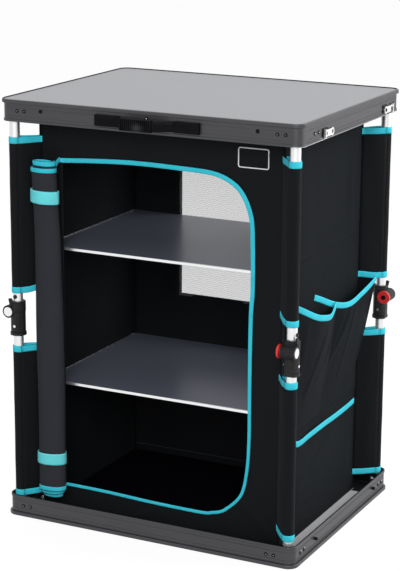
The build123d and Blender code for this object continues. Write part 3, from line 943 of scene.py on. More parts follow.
@dataclass
class Dressing:
    """Finishes of the CAD pieces that keep their shape."""

    nodes: dict[str, bpy.types.Object]

    def finishes(self) -> dict[str, Finish]:
        """Return the finish of each kept CAD node.

        Returns:
            The finishes by the nodes' names.
        """
        found = {
            "bottom_frame": FRAME_METAL, "top_frame": FRAME_METAL, "table_top": TABLE_LAMINATE,
            "floor_panel": FLOOR_LAMINATE_PAINTED_LIGHT, "bottom_rivets": RIVET_STEEL,
            "top_rivets": RIVET_STEEL, "bottom_pins": STEEL, "top_pins": STEEL,
            "bottom_brackets": BLACK_MOULDING, "top_brackets": BLACK_MOULDING,
            "latch_studs": BLACK_OXIDE, "front_studs": BLACK_OXIDE,
            "handle_mounts": BLACK_MOULDING, "handle_grip": GRIP_MOULDING,
            "hasp_plates": BLACK_OXIDE, "front_hasp": STEEL, "rear_hasp": STEEL,
            "upper_shelf": SHELF_BOARD_PAINTED_LIGHT, "lower_shelf": SHELF_BOARD_PAINTED_LIGHT, "base_board": BASE_BOARD_PAINTED_SHADE,
        }
        for name in CORNER_NAMES:
            found[f"lower_tube_{name}"] = found[f"upper_tube_{name}"] = TUBE_METAL
            found[f"lower_knuckle_{name}"] = found[f"upper_knuckle_{name}"] = KNUCKLE_MOULDING
            found[f"knuckle_pin_{name}"] = STEEL
            found[f"release_button_{name}"] = RED_MOULDING
        return found

    def build(self) -> None:
        """Give every kept CAD node its finish."""
        finishes = self.finishes()
        for node, finish in finishes.items():
            piece = self.nodes[node]
            piece.data.materials.clear()
            piece.data.materials.append(finish.material())
        LOG.info("dressed %d CAD nodes", len(finishes))


@dataclass
class Sleeves:
    """Cloth sleeves on the legs, with the flaps that tie them to the cabinet.

    The sleeves of the raised corner sit higher than the others at each of their four ends.
    """

    folding: Folding
    radius: float = 0.0101
    thickness: float = 0.0008
    seam: tuple[float, float] = (0.0375, 0.0334)
    band: float = 0.012
    lower: tuple[float, float] = (0.037, 0.334)
    upper: tuple[float, float] = (0.436, 0.729)
    raised: str = "FR"
    rises: tuple[float, ...] = (0.010, 0.009, 0.007, 0.005)
    notch: float = 0.004
    turn_in: float = 0.001
    stand_off: float = 0.0002
    ripple_depth: float = 0.0006
    slack: float = 0.0012
    slack_change: float = 0.0022
    wrap_band: float = 0.0014
    flap_band: float = 0.0018

    def build(self) -> None:
        """Make the four corners' wraps, flaps and bound edges."""
        for index in range(4):
            corner = Corner(index)
            ends = [*self.lower, *self.upper]
            if corner.name == self.raised:
                ends = [end + rise for end, rise in zip(ends, self.rises)]
            for part, low, high in (("lower", *ends[:2]), ("upper", *ends[2:])):
                self.wrap(corner, part, low, high)
                for side in (1, -1):
                    self.flap(corner, part, low, high, side)
            LOG.info("sleeves at %s", corner.name)

    def tangent(self) -> float:
        """Return the angle at which a flap leaves the sleeve, in the corner's frame."""
        x, y = self.seam
        return math.atan2(y, x) - math.acos(self.radius / math.hypot(x, y))

    def ripple(self, corner: Corner, angle: float, z: float) -> float:
        """Return how far the sleeve stands off its plain round at a place."""
        soft = wavy(math.cos(angle) * 2, math.sin(angle) * 2 + corner.index * 7, z * 22)
        return self.stand_off + self.ripple_depth * max(0.0, soft)

    def wrap(self, corner: Corner, part: str, low: float, high: float) -> None:
        """Make the stretch round the outer side of the tube, which goes with the leg.

        Args:
            corner: The leg's corner.
            part: "lower" or "upper".
            low: Its lowest place.
            high: Its highest place.
        """
        first = self.tangent()
        last = math.pi / 2 - first - 2 * math.pi
        angles = spread(first, last, 37)
        grid = [
            [corner.around(self.radius + self.ripple(corner, angle, z), angle, z)
             for angle in angles]
            for z in spread(low + self.turn_in, high - self.turn_in, 48)]
        body = f"{part}_leg_{corner.name}"
        name = f"{part}_sleeve_wrap_{corner.name}"
        wrap = sheet_object(name, grid, BLACK_CLOTH, self.thickness)
        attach(wrap, body)
        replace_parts(wrap, f"{part}_sleeve_{corner.name}")
        for end, z in (("bottom", low + self.band / 2), ("top", high - self.band / 2)):
            path = [
                corner.around(self.radius + self.ripple_depth, angle, z) for angle in angles]
            name = f"{part}_sleeve_{end}_band_{corner.name}"
            band = tape_object(name, path, UP, self.band, self.wrap_band, TAPE)
            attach(band, body)
        size = (self.radius * (first - last), high - low - 2 * self.turn_in)

    def flap_point(self, corner: Corner, side: int, t: float, z: float) -> Vector:
        """Return a point of a flap.

        Args:
            corner: The leg's corner.
            side: 1 for the flap along the wall that the leg folds by, -1 for the other.
            t: Share of the way from the sleeve to the cabinet.
            z: Height.

        Returns:
            The point in the cupboard's frame.
        """
        seed = corner.index * 5 + (3 if side > 0 else 0)
        lift = self.slack + self.slack_change * wavy(t * 1.5 + seed, z * 9, seed)
        angle = self.tangent()
        out = Vector((math.cos(angle), math.sin(angle)))
        flat = (out * (self.radius + 0.0003)).lerp(Vector(self.seam), t)
        flat += out * (lift * math.sin(math.pi * t))
        if side < 0:
            flat = Vector((flat.y, flat.x))
        return corner.point(flat.x, flat.y, z)

    def flap(self, corner: Corner, part: str, low: float, high: float, side: int) -> None:
        """Make one flap and its bound edges.

        Args:
            corner: The leg's corner.
            part: "lower" or "upper".
            low: The sleeve's lowest place.
            high: The sleeve's highest place.
            side: 1 or -1, as for flap_point.
        """
        shares = spread(0.0, 1.0, 9)
        notch = 0.0 if part == "lower" else self.notch
        feet = [low + notch * ramp(t, 0.25, 1.0) for t in shares]
        grid = [
            [self.flap_point(corner, side, t, foot + (high - foot) * v)
             for t, foot in zip(shares, feet)]
            for v in spread(0.0, 1.0, 44)]
        name = f"{part}_flap_{'along' if side > 0 else 'across'}_{corner.name}"
        sheet = self.folding.collapse(sheet_object(name, grid, BLACK_CLOTH, self.thickness))
        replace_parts(sheet, "corner_flaps")
        tops = [high - self.band / 2] * len(shares)
        for end, rises in (("bottom", [foot + self.band / 2 for foot in feet]), ("top", tops)):
            path = [self.flap_point(corner, side, t, z) for t, z in zip(shares, rises)]
            band = tape_object(
                f"{name}_{end}_band", path, UP, self.band, self.flap_band, TAPE)
            self.folding.collapse(band)
        run = (grid[0][0] - grid[0][-1]).length
        high - low


@dataclass
class DoorOutline:
    """Outline of the door opening on the front: the outer edge of its piping, as (x, z)."""

    run: tuple[tuple[float, float], ...] = (
        (-0.205, 0.690), (-0.120, 0.696), (-0.045, 0.699), (0.044, 0.698), (0.107, 0.695),
        (0.144, 0.683), (0.169, 0.661), (0.186, 0.622), (0.190, 0.573), (0.191, 0.490),
        (0.188, 0.440), (0.187, 0.330), (0.187, 0.212), (0.183, 0.146), (0.171, 0.099),
        (0.138, 0.065), (0.112, 0.055), (0.086, 0.0515), (-0.012, 0.0525), (-0.121, 0.0565),
        (-0.205, 0.057),
    )

    def points(self) -> list[Vector]:
        """Return the curve from the top of the hinge side round to its bottom."""
        return smooth_path([Vector(place) for place in self.run], 6)

    def moved(self, inward: Union[float, Sequence[float]]) -> list[Vector]:
        """Return the curve moved inwards by a distance, which may differ at each point.

        Args:
            inward: The distance, for the whole curve or at each point.

        Returns:
            The moved curve's points.
        """
        points = self.points()
        ways = [inward] * len(points) if isinstance(inward, float) else inward
        made = []
        for number, (point, way) in enumerate(zip(points, ways)):
            along = heading(points, number)
            made.append(point + Vector((along.y, -along.x)) * way)
        return made


@dataclass
class Cabinet:
    """Hanging cloth cabinet: front, sides, back and net window.

    The window is the left, right, lowest and highest place of the opening in the back.
    """

    folding: Folding
    outline: DoorOutline
    half_x: float = 0.245
    half_y: float = 0.180
    cloth: float = 0.0012
    low: float = 0.0056
    high: float = 0.7938
    shelves: tuple[float, float] = (0.262, 0.522)
    window: tuple[float, float, float, float] = (-0.142, 0.142, 0.355, 0.705)
    hem: float = 0.0046
    hem_reach: float = 0.012
    front_wave: float = 0.0012
    front_dent: float = 0.0004
    net_lap: float = 0.006
    net_out: float = 0.0009
    net_wave: float = 0.0012
    net_thickness: float = 0.0005
    binding: float = 0.010
    binding_out: float = 0.0015
    binding_thickness: float = 0.0016
    slack_terms: Triple = (0.0022, 0.0022, 0.0011)
    seam_radius: float = 0.0012
    fine_seam_radius: float = 0.0007
    shelf_shade_cord_radius: float = 0.0008
    front_creases: tuple[Crease, ...] = (
        Crease((0.19, 0.70), (0.238, 0.760), 0.0022, 0.006),
        Crease((0.17, 0.09), (0.236, 0.020), 0.0026, 0.007),
        Crease((-0.20, 0.70), (-0.238, 0.765), 0.0020, 0.006),
        Crease((-0.10, 0.73), (-0.02, 0.770), 0.0014, 0.008),
        Crease((-0.09, 0.012), (0.04, 0.045), 0.0016, 0.007),
        Crease((0.05, 0.012), (0.15, 0.040), 0.0014, 0.006),
    )
    right_creases: tuple[Crease, ...] = (
        Crease((-0.16, 0.5275), (0.17, 0.5265), 0.0014, 0.0030),
        Crease((0.160, 0.555), (0.163, 0.670), 0.0024, 0.0040),
        Crease((0.128, 0.560), (0.118, 0.690), 0.0020, 0.0060),
    )

    def build(self) -> None:
        """Make every sheet of the cabinet."""
        self.front()
        self.wall("right_wall", 1, self.right_creases)
        self.wall("left_wall", -1, ())
        self.back()
        self.net()
        self.seams()
        LOG.info("cabinet cloth")

    def slack(self, a: float, b: float, seed: float) -> float:
        """Return the outward slack between the shelves.

        Args:
            a: Place across the wall.
            b: Height.
            seed: A number that tells the walls' noises apart.

        Returns:
            The distance.
        """
        levels = (self.low, *self.shelves, self.high)
        free = 0.0
        for low, high in zip(levels, levels[1:]):
            if low <= b <= high:
                free = math.sin(math.pi * (b - low) / (high - low)) ** 0.8
        base, broad, fine = self.slack_terms
        wave = wavy(a * 5 + seed, b * 3.2, seed)
        small = wavy(a * 16 + seed * 2, b * 9, seed)
        return free * (base + broad * wave + fine * small)

    def front(self) -> None:
        """Make the front with its opening."""
        hole = self.outline.moved(self.hem)
        rounds = list(zip(hole, hole[1:] + hole[:1]))
        xs, zs = spread(-self.half_x, self.half_x, 71), spread(self.low, self.high, 113)

        def inside(x: float, z: float) -> bool:
            """Return whether a point lies in the opening.

            Args:
                x: Its place.
                z: Its height.

            Returns:
                Whether it does.
            """
            crossed = False
            for first, second in rounds:
                if (first.y > z) != (second.y > z):
                    share = (z - first.y) / (second.y - first.y)
                    crossed ^= x < first.x + share * (second.x - first.x)
            return crossed

        def shaped(x: float, z: float) -> Vector:
            """Return a point of the cloth, with its folds.

            Args:
                x: Its place.
                z: Its height.

            Returns:
                The point.
            """
            edge = min(self.half_x - abs(x), self.high - z, z - self.low)
            soft = wavy(x * 9, z * 7, 4.0) * self.front_wave * ramp(edge, 0.0, 0.03)
            lift = soft + sum(crease.height(x, z) for crease in self.front_creases)
            return Vector((x, self.cloth / 2 - self.half_y - max(-self.front_dent, lift), z))

        places = [Vector((x, z)) for z in zs for x in xs]
        faces = [
            (a, b, c, d) for a, b, c, d in quads(len(zs), len(xs))
            if not inside(*((places[a] + places[c]) / 2))]
        uses = Counter(number for face in faces for number in face)
        for number, used in uses.items():
            row, column = divmod(number, len(xs))
            if used < 4 and 0 < row < len(zs) - 1 and 0 < column < len(xs) - 1:
                here = places[number]
                near = min(hole, key=lambda place: (place - here).length_squared)
                if (near - here).length < self.hem_reach:
                    places[number] = near
        points = [shaped(place.x, place.y) for place in places]
        sheet = pierced_sheet("front_cloth", points, faces, BLACK_CLOTH, self.cloth)
        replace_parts(self.folding.collapse(sheet), "front_panel")

    def wall(self, name: str, sign: int, creases: tuple[Crease, ...]) -> None:
        """Make one side wall.

        Args:
            name: The piece's name.
            sign: 1 for the right and -1 for the left.
            creases: Its folds.
        """
        grid = []
        for z in spread(self.low, self.high, 106):
            row = []
            for y in spread(-self.half_y + self.cloth, self.half_y, 50):
                edge = ramp(self.half_y - abs(y), 0.0, 0.05)
                lift = edge * self.slack(y, z, 3.0 + sign)
                lift += sum(crease.height(y, z) for crease in creases)
                out = self.half_x - self.cloth / 2 + max(0.0, lift)
                row.append(Vector((sign * out, y, z)))
            grid.append(row)
        # The side walls take the lighter copy of the black cloth: painted light.
        sheet = self.folding.collapse(sheet_object(name, grid, SIDE_CLOTH_PAINTED_LIGHT, self.cloth))
        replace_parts(sheet, "cabinet_walls")

    def back(self) -> None:
        """Make the back with its window."""
        left, right, bottom, top = self.window
        xs = [*spread(-self.half_x, left, 14)[:-1], *spread(left, right, 36)[:-1],
              *spread(right, self.half_x, 14)]
        zs = [*spread(self.low, bottom, 42)[:-1], *spread(bottom, top, 42)[:-1],
              *spread(top, self.high, 12)]
        points = []
        for z in zs:
            for x in xs:
                edge = ramp(self.half_x - abs(x), 0.0, 0.05)
                rim = max(left - x, x - right, bottom - z, z - top)
                lift = edge * ramp(rim, 0.0, 0.04) * self.slack(x, z, 9.0)
                points.append(Vector((x, self.half_y - self.cloth / 2 + max(0.0, lift), z)))
        faces = []
        for face in quads(len(zs), len(xs)):
            middle = (points[face[0]] + points[face[2]]) / 2
            if not (left < middle.x < right and bottom < middle.z < top):
                faces.append(face)
        sheet = pierced_sheet("back_wall", points, faces, BLACK_CLOTH, self.cloth)
        self.folding.collapse(sheet)

    def net(self) -> None:
        """Make the net in the back window, and the binding round it."""
        left, right, bottom, top = self.window
        lap, y = self.net_lap, self.half_y + self.net_out
        grid = [
            [Vector((x, y + wavy(x * 12, z * 9, 2.0) * self.net_wave, z))
             for x in spread(left - lap, right + lap, 26)]
            for z in spread(bottom - lap, top + lap, 30)]
        sheet = self.folding.collapse(sheet_object("window_net", grid, NET, self.net_thickness))
        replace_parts(sheet, "mesh_window")
        corners = [Vector((x, self.half_y + self.binding_out, z)) for x, z in (
            (left, bottom), (right, bottom), (right, top), (left, top))]
        for number, (first, second) in enumerate(zip(corners, corners[1:] + corners[:1])):
            path = [first.lerp(second, t) for t in spread(0.0, 1.0, 12)]
            side = ACROSS if number % 2 else UP
            name = f"window_binding_{number}"
            band = tape_object(
                name, path, side, self.binding, self.binding_thickness, BLACK_CLOTH)
            self.folding.collapse(band)

    def seams(self) -> None:
        """Make the corded seams down the corners and at the back's foot, and a dark cord of painted
        shade along the right wall's crease over the shelf.
        """
        cords = []
        for number, (x, y) in enumerate(CORNER_SIGNS):
            path = []
            for z in spread(self.low + 0.002, self.high - 0.002, 60):
                out = self.half_x + 0.0004 + wavy(number * 3.0, z * 6, 1.0) * 0.0005
                path.append(Vector((x * out, y * (self.half_y + 0.0002), z)))
            cords.append((f"corner_seam_{number}", path, self.seam_radius, BLACK_CLOTH))
        inner = self.half_y - self.cloth - 0.0008
        foot = [Vector((x, inner, 0.024)) for x in spread(-0.24, 0.24, 30)]
        cords.append(("back_foot_seam", foot, self.fine_seam_radius, LINING_CLOTH))
        # Black cloth, darker than the wall's, along the crease over the upper shelf's edge: painted
        # shade of that crease.
        shelf = [
            Vector((self.half_x + 0.0012, y, self.shelves[1] + 0.0045 + 0.0016 * wavy(y * 9, 1, 2)))
            for y in spread(-0.166, 0.174, 40)]
        cords.append(("shelf_crease_painted_shade", shelf, self.shelf_shade_cord_radius, BLACK_CLOTH))
        for cord in cords:
            self.folding.collapse(cord_object(*cord))


@dataclass
class Door:
    """Rolled-up door with its piping, straps and zip pull.

    The roll's axis and half width are given by terms in the share of the way down it. The
    piping's width is its least and what the top adds, and piping_inset is the share of it that
    lies between its middle and the opening's outline.
    """

    folding: Folding
    outline: DoorOutline
    face: float = -0.180
    hinge: float = -0.201
    hinge_width: float = 0.0080
    piping_width: tuple[float, float] = (0.0060, 0.0026)
    piping_inset: float = 0.455
    piping_thickness: float = 0.0028
    proud: float = 0.0010
    turns: float = 3.4
    axis: Triple = (-0.2250, 0.0110, -0.0050)
    wide: Triple = (0.0253, 0.0040, -0.0010)
    deep: float = 0.0150
    gap: float = 0.0022
    stand_off: float = 0.0075
    pitch: float = 0.0034
    start: float = math.radians(50.0)
    top: float = 0.688
    bottom: float = 0.038
    cloth: float = 0.0010
    binding: float = 0.0088
    band: float = 0.0022
    shade_cord_radius: float = 0.0006
    tie_width: float = 0.0085
    strap_gap: float = 0.0019
    strap_thickness: float = 0.0012
    pull_radius: float = 0.0022
    pull_wire: float = 0.0005
    pull_width: float = 0.0042

    def build(self) -> None:
        """Make the piping, the roll and what holds it."""
        self.piping()
        self.roll()
        self.tie()
        self.strap("upper", 0.6095, 0.6335, 0.0016, -0.0006)
        self.strap("lower", 0.105, 0.127, 0.0002, 0.0016)
        self.pull()
        LOG.info("door")

    def piping(self) -> None:
        """Make the tape that binds the opening, and the one down the hinge side."""
        least, more = self.piping_width
        widths = [least + more * ramp(point.y, 0.10, 0.62) for point in self.outline.points()]
        points = self.outline.moved([width * self.piping_inset for width in widths])
        path, sides = [], []
        for number, point in enumerate(points):
            along = heading(points, number)
            wander = wavy(point.x * 14, point.y * 14, 0.5) * 0.0003
            path.append(Vector((point.x, self.face - self.proud + wander, point.y)))
            sides.append(Vector((along.y, 0.0, -along.x)))
        main = tape_object("door_piping", path, sides, widths, self.piping_thickness, TAPE)
        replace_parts(self.folding.collapse(main), "door_trim")
        path = [Vector((self.hinge, self.face - self.proud, z)) for z in spread(0.057, 0.690, 60)]
        self.folding.collapse(
            tape_object("door_hinge_piping", path, ACROSS, self.hinge_width, 0.0026, BLACK_CLOTH))

    def down(self, z: float) -> float:
        """Return the share of the way down the roll at a height."""
        return (self.top - z) / (self.top - self.bottom)

    def middle(self, z: float) -> Vector:
        """Return the middle of the roll at a height."""
        away = self.gap + self.deep + self.stand_off * ramp(z, 0.52, 0.688)
        return Vector((bent(self.axis, self.down(z)), self.face - away, z))

    def section(self, angle: float, z: float, spare: float = 0.0) -> Vector:
        """Return a point of the spiral.

        Args:
            angle: How far round it lies from its start, in radians.
            z: Height.
            spare: How far it stands outside the spiral.

        Returns:
            The point.
        """
        opened = ramp(z, 0.662, 0.676) * ramp(9.0 - angle, 0.0, 1.0)
        inward = self.pitch * angle / (2 * math.pi) * (1 - 0.75 * opened)
        turn = self.start - angle
        c, s = math.cos(turn), math.sin(turn)
        grow = 0.0
        if angle < 2 * math.pi:
            slack = 0.0016 * math.sin(math.pi * ramp(z, 0.12, 0.62))
            soft = wavy(c * 1.5, s * 1.5, z * 7) * 0.0011
            lines = wavy(c * 5, s * 5, z * 1.6) * 0.0008
            grow = max(-0.0012, slack + soft + lines)
        wide = bent(self.wide, self.down(z)) - inward + grow + spare
        deep = self.deep - inward * 0.9 + grow * 0.5 + spare
        return self.middle(z) + Vector((wide * c, deep * s, 0.0))

    def ends(self, angle: float) -> tuple[float, float]:
        """Return the lowest and highest place of the rolled cloth at an angle.

        Args:
            angle: How far round the spiral it is from its start, in radians.

        Returns:
            The two heights.
        """
        turn = angle / (2 * math.pi)
        inner = ramp(turn, 2.6, 3.4)
        low = self.bottom + 0.0165 - 0.0072 * min(turn, 2.25) + 0.10 * inner
        high = self.top - 0.012 + 0.012 * ramp(turn, 0.75, 1.05) - 0.08 * inner
        bowl = 0.0024 * (1 - math.cos(angle - self.start - math.pi / 2)) * ramp(turn, 0.3, 1.2)
        return low + bowl, high

    def roll(self) -> None:
        """Make the rolled cloth and its bound edges, with a dark cord of painted shade at the foot
        of each binding.
        """
        angles = spread(0.0, self.turns * 2 * math.pi, 190)
        ends = [self.ends(angle) for angle in angles]
        grid = [
            [self.section(angle, low + (high - low) * share)
             for angle, (low, high) in zip(angles, ends)]
            for share in spread(0.0, 1.0, 64)]
        cloth = sheet_object("door_cloth", grid, LINING_CLOTH, self.cloth)
        self.folding.collapse(cloth)
        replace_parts(cloth, "door_roll")
        half = self.binding / 2
        for end, tapes, shade_cord_heights in (
            ("bottom", [low + half for low, _ in ends], [low - 0.0002 for low, _ in ends]),
            ("top", [high - half for _, high in ends], [high - 2 * half for _, high in ends]),
        ):
            path = [self.section(angle, z, 0.0001) for angle, z in zip(angles, tapes)]
            band = tape_object(f"door_{end}_binding", path, UP, self.binding, self.band, TAPE)
            self.folding.collapse(band)
            # A dark cord at the foot of each binding: painted shade between the roll's turns.
            path = [self.section(angle, z, 0.0009) for angle, z in zip(angles, shade_cord_heights)]
            hem = cord_object(f"door_{end}_hem", path, self.shade_cord_radius, PAINTED_SHADE_TAPE)
            self.folding.collapse(hem)
        size = (path_length(grid[30]), self.top - self.bottom)
        min(grid_area(grid), size[0] * size[1])

    def tie(self) -> None:
        """Make the short tape from the opening's top corner to the roll."""
        path = smooth_path([Vector((x, self.face - away, z)) for x, away, z in (
            (-0.2030, 0.0018, 0.6880), (-0.2030, 0.0080, 0.6865),
            (-0.2025, 0.0190, 0.6800), (-0.2035, 0.0290, 0.6730))], 6)
        self.folding.collapse(
            tape_object("door_top_tie", path, UP, self.tie_width, self.band, TAPE))

    def strap(self, name: str, low: float, high: float, flare: float, skew: float) -> None:
        """Make one strap round the roll. The upper one has a crease and a free tail.

        Args:
            name: "upper" or "lower".
            low: Its lower edge.
            high: Its upper edge.
            flare: How far its two ends stand out.
            skew: How far it slants.
        """
        centre = self.middle((low + high) / 2)
        half = bent(self.wide, self.down(centre.z))
        deep = self.deep + self.strap_gap

        def reach(c: float) -> float:
            """Return half the strap's width where the cosine of the angle is c."""
            return half + 0.0014 + flare * abs(c) ** 6

        ring = []
        for angle in (2 * math.pi * number / 72 for number in range(72)):
            c, s = math.cos(angle), math.sin(angle)
            crease = 0.0007 * math.exp(-(((angle - 4.62) / 0.09) ** 2)) if name == "upper" else 0.0
            y = min(centre.y + (deep - crease) * s, self.face - 0.0014)
            ring.append((centre.x + (reach(c) - crease) * c, y, skew * c))
        grid = [
            [Vector((x, y, z + slant)) for x, y, slant in ring] for z in spread(low, high, 9)]
        strap = sheet_object(
            f"{name}_door_strap", grid, STRAP_TAPE, self.strap_thickness, closed=True)
        self.folding.collapse(strap)
        if name == "upper":
            path = [
                centre + Vector((
                    (reach(math.cos(angle)) + 0.0016) * math.cos(angle),
                    (deep + 0.0015) * math.sin(angle), skew * math.cos(angle)))
                for angle in spread(4.60, 6.05, 24)]
            tail = tape_object(
                "upper_door_strap_tail", path, UP, high - low + 0.0006, 0.0016, STRAP_TAPE)
            self.folding.collapse(tail)
        run = path_length([*grid[0], grid[0][0]])

    def pull(self) -> None:
        """Make the small metal zip pull under the roll."""
        hang = Vector((-0.2420, self.face - 0.017, 0.031))
        ring = [hang + Vector((c, 0.0, s)) * self.pull_radius for c, s in circle(16)]
        self.folding.collapse(
            cord_object("zip_pull_ring", ring, self.pull_wire, STEEL, closed=True))
        path = [hang + Vector((0.0010 * t, 0.0, -0.0015 - 0.0085 * t)) for t in spread(0, 1, 10)]
        self.folding.collapse(
            tape_object("zip_pull_tab", path, ACROSS, self.pull_width, 0.0014, STEEL))


@dataclass
class Pocket:
    """One pocket on the right wall.

    Its rim is where the mouth runs, as (y, x, z) from front to rear. Where free_low is given, the
    rear end leaves the wall above that height and reaches for the leg.
    """

    name: str
    start: float
    end: float
    low: float
    rim: tuple[Triple, ...]
    creases: tuple[Crease, ...]
    free_low: Optional[float] = None
    lift: float = 0.0
    binding: float = 0.0115
    wall: float = 0.2458

    def __post_init__(self) -> None:
        """Draw the mouth's line through the rim's points."""
        self.line = smooth_path([Vector((x, y, z)) for y, x, z in self.rim], 14)

    def mouth(self, u: float) -> Vector:
        """Return the point at a share of the way along the mouth.

        Args:
            u: The share, from the front.

        Returns:
            The point.
        """
        place = u * (len(self.line) - 1)
        first = min(int(place), len(self.line) - 2)
        return self.line[first].lerp(self.line[first + 1], place - first)

    def share(self, u: float, z: float, top: float) -> float:
        """Return how much of the mouth's distance from the wall is left at a height.

        Args:
            u: Share of the way along the mouth.
            z: Height of the point.
            top: Height of the mouth above it.

        Returns:
            The share, from 0 at the pocket's foot to 1 at its mouth.
        """
        v = (z - self.low) / (top - self.low)
        full = (0.14 + 0.86 * ramp(v, 0.0, 1.0) ** 1.1) * ramp(v, -0.02, 0.10)
        if self.free_low is None:
            return full
        late = min(1.0, max(0.0, (z - self.free_low) / (top - self.free_low))) ** 0.85
        rear = ramp(u, 0.70, 1.0)
        return full * (1 - rear) + late * rear

    def point(self, u: float, v: float, spare: float = 0.0) -> Vector:
        """Return a point of the pocket's cloth.

        Args:
            u: Share of the way along it, from the front.
            v: Share of the way up it.
            spare: Extra distance from the wall.

        Returns:
            The point.
        """
        rim = self.mouth(u)
        along = (rim.y - self.line[0].y) / (self.line[-1].y - self.line[0].y)
        foot = self.start + (self.end - self.start) * along
        z = self.low + (rim.z - self.low) * v
        share = self.share(u, z, rim.z)
        y = foot + (rim.y - foot) * share
        edge = ramp(min(u, 1 - u, v), 0.0, 0.08)
        fold = sum(crease.height(y, z) for crease in self.creases) * ramp(1 - v, 0.0, 0.08)
        soft = wavy(y * 13, z * 10, self.start * 9) * 0.0014
        x = self.wall + (rim.x - self.wall) * share + max(-0.0006, (fold + soft) * edge)
        return Vector((x + self.lift + spare, y, z))

    def gusset(self) -> Grid:
        """Return the cloth behind the free end, from the wall's corner to that end.

        Returns:
            Its points, in rows from the lowest up.
        """
        top = self.mouth(1.0)
        grid = []
        for z in spread(self.free_low + 0.004, top.z - 0.0006, 28):
            share = self.share(1.0, z, top.z)
            x = self.wall + (top.x - self.wall) * share
            y = self.end + (top.y - self.end) * share
            near, far = Vector((self.wall - 0.0010, self.end + 0.0015, z)), Vector((x, y, z))
            grid.append([
                near.lerp(far, t) + Vector((-0.0008, 0.0014 + 0.0012 * math.sin(math.pi * t), 0))
                for t in spread(0.0, 1.0, 10)])
        return grid


@dataclass
class Pockets:
    """Pockets on the right wall."""

    folding: Folding
    cloth: float = 0.0010
    band: float = 0.0022
    gusset_fill: float = 0.56
    pockets: tuple[Pocket, ...] = (
        Pocket(
            "low_pocket", -0.168, 0.168, 0.060,
            (
                (-0.168, 0.2462, 0.2010), (-0.125, 0.2470, 0.1998), (-0.108, 0.2480, 0.1955),
                (-0.086, 0.2486, 0.1945), (-0.050, 0.2490, 0.1972), (0.020, 0.2495, 0.1980),
                (0.095, 0.2488, 0.1977), (0.168, 0.2464, 0.1985),
            ),
            (Crease((-0.10, 0.10), (0.06, 0.17), 0.0012, 0.008),)),
        Pocket(
            "rear_pocket", -0.042, 0.176, 0.215,
            (
                (-0.042, 0.2462, 0.4560), (-0.020, 0.2500, 0.4475), (0.020, 0.2600, 0.4300),
                (0.055, 0.2690, 0.4215), (0.090, 0.2725, 0.4215), (0.133, 0.2736, 0.4285),
                (0.170, 0.2742, 0.4355), (0.197, 0.2745, 0.4410),
            ),
            (
                Crease((0.078, 0.405), (0.000, 0.290), 0.0042, 0.0055),
                Crease((0.050, 0.395), (-0.020, 0.270), 0.0026, 0.0050),
                Crease((0.100, 0.405), (0.060, 0.250), 0.0022, 0.0060),
            ),
            free_low=0.270),
        Pocket(
            "front_pocket", -0.168, -0.002, 0.215,
            (
                (-0.168, 0.2462, 0.4700), (-0.147, 0.2600, 0.4610), (-0.097, 0.2720, 0.4365),
                (-0.067, 0.2750, 0.4275), (-0.035, 0.2740, 0.4210), (-0.010, 0.2690, 0.4205),
                (0.012, 0.2640, 0.4250), (0.021, 0.2625, 0.4300),
            ),
            (
                Crease((0.004, 0.400), (-0.022, 0.300), 0.0024, 0.0050),
                Crease((-0.040, 0.390), (-0.100, 0.270), 0.0026, 0.0070),
                Crease((-0.120, 0.420), (-0.130, 0.300), 0.0018, 0.0080),
            ),
            lift=0.0008),
    )

    def build(self) -> None:
        """Make every pocket and its bound mouth."""
        for pocket in self.pockets:
            grid = [[pocket.point(u, v) for u in spread(0, 1, 56)] for v in spread(0, 1, 48)]
            # The pockets take the lighter copy of the black cloth: painted light.
            sheet = self.folding.collapse(sheet_object(pocket.name, grid, SIDE_CLOTH_PAINTED_LIGHT, self.cloth))
            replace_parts(sheet, "side_pockets")
            path, sides = [], []
            for u in spread(0.0, 1.0, 70):
                drop = pocket.binding / (pocket.mouth(u).z - pocket.low)
                path.append(pocket.point(u, 1.0 - drop / 2, 0.0002))
                sides.append(pocket.point(u, 1.0) - pocket.point(u, 1.0 - drop))
            name = f"{pocket.name}_binding"
            band = tape_object(name, path, sides, pocket.binding, self.band, TAPE)
            self.folding.collapse(band)
            run = max(path_length(row) for row in grid)
            tall = max(path_length([row[number] for row in grid]) for number in range(0, 56, 5))
            min(grid_area(grid), run * tall)
            LOG.info("pocket %s", pocket.name)
            if pocket.free_low is not None:
                self.gusset(pocket.gusset())

    def gusset(self, grid: Grid) -> None:
        """Make the cloth behind a pocket's free end from its points.

        Args:
            grid: Its points.
        """
        sheet = self.folding.collapse(sheet_object("pocket_gusset", grid, BLACK_CLOTH, self.cloth))
        run = (grid[-1][0] - grid[-1][-1]).length


@dataclass
class Badge:
    """Bare sewn patch with a corded edge."""

    folding: Folding
    left: float = 0.157
    right: float = 0.2145
    low: float = 0.7075
    high: float = 0.742
    face: float = -0.1808
    radius: float = 0.0035
    edge: float = 0.0011
    cloth: float = 0.0008

    def build(self) -> None:
        """Make the patch and its edge."""
        left, right = self.left + self.radius, self.right - self.radius
        low, high = self.low + self.radius, self.high - self.radius
        ring = []
        for number, (x, z) in enumerate(((right, high), (left, high), (left, low), (right, low))):
            for c, s in arc(90 * number, 90 * number + 90, 7):
                ring.append(Vector((x + self.radius * c, self.face - 0.0006, z + self.radius * s)))
        edge = cord_object("patch_edge", ring, self.edge, PATCH_THREAD, closed=True)
        self.folding.collapse(edge)
        grid = [
            [Vector((x, self.face + 0.0003, z)) for x in spread(self.left, self.right, 14)]
            for z in spread(self.low, self.high, 10)]
        patch = self.folding.collapse(sheet_object("patch", grid, BLACK_CLOTH, self.cloth))
        LOG.info("patch")


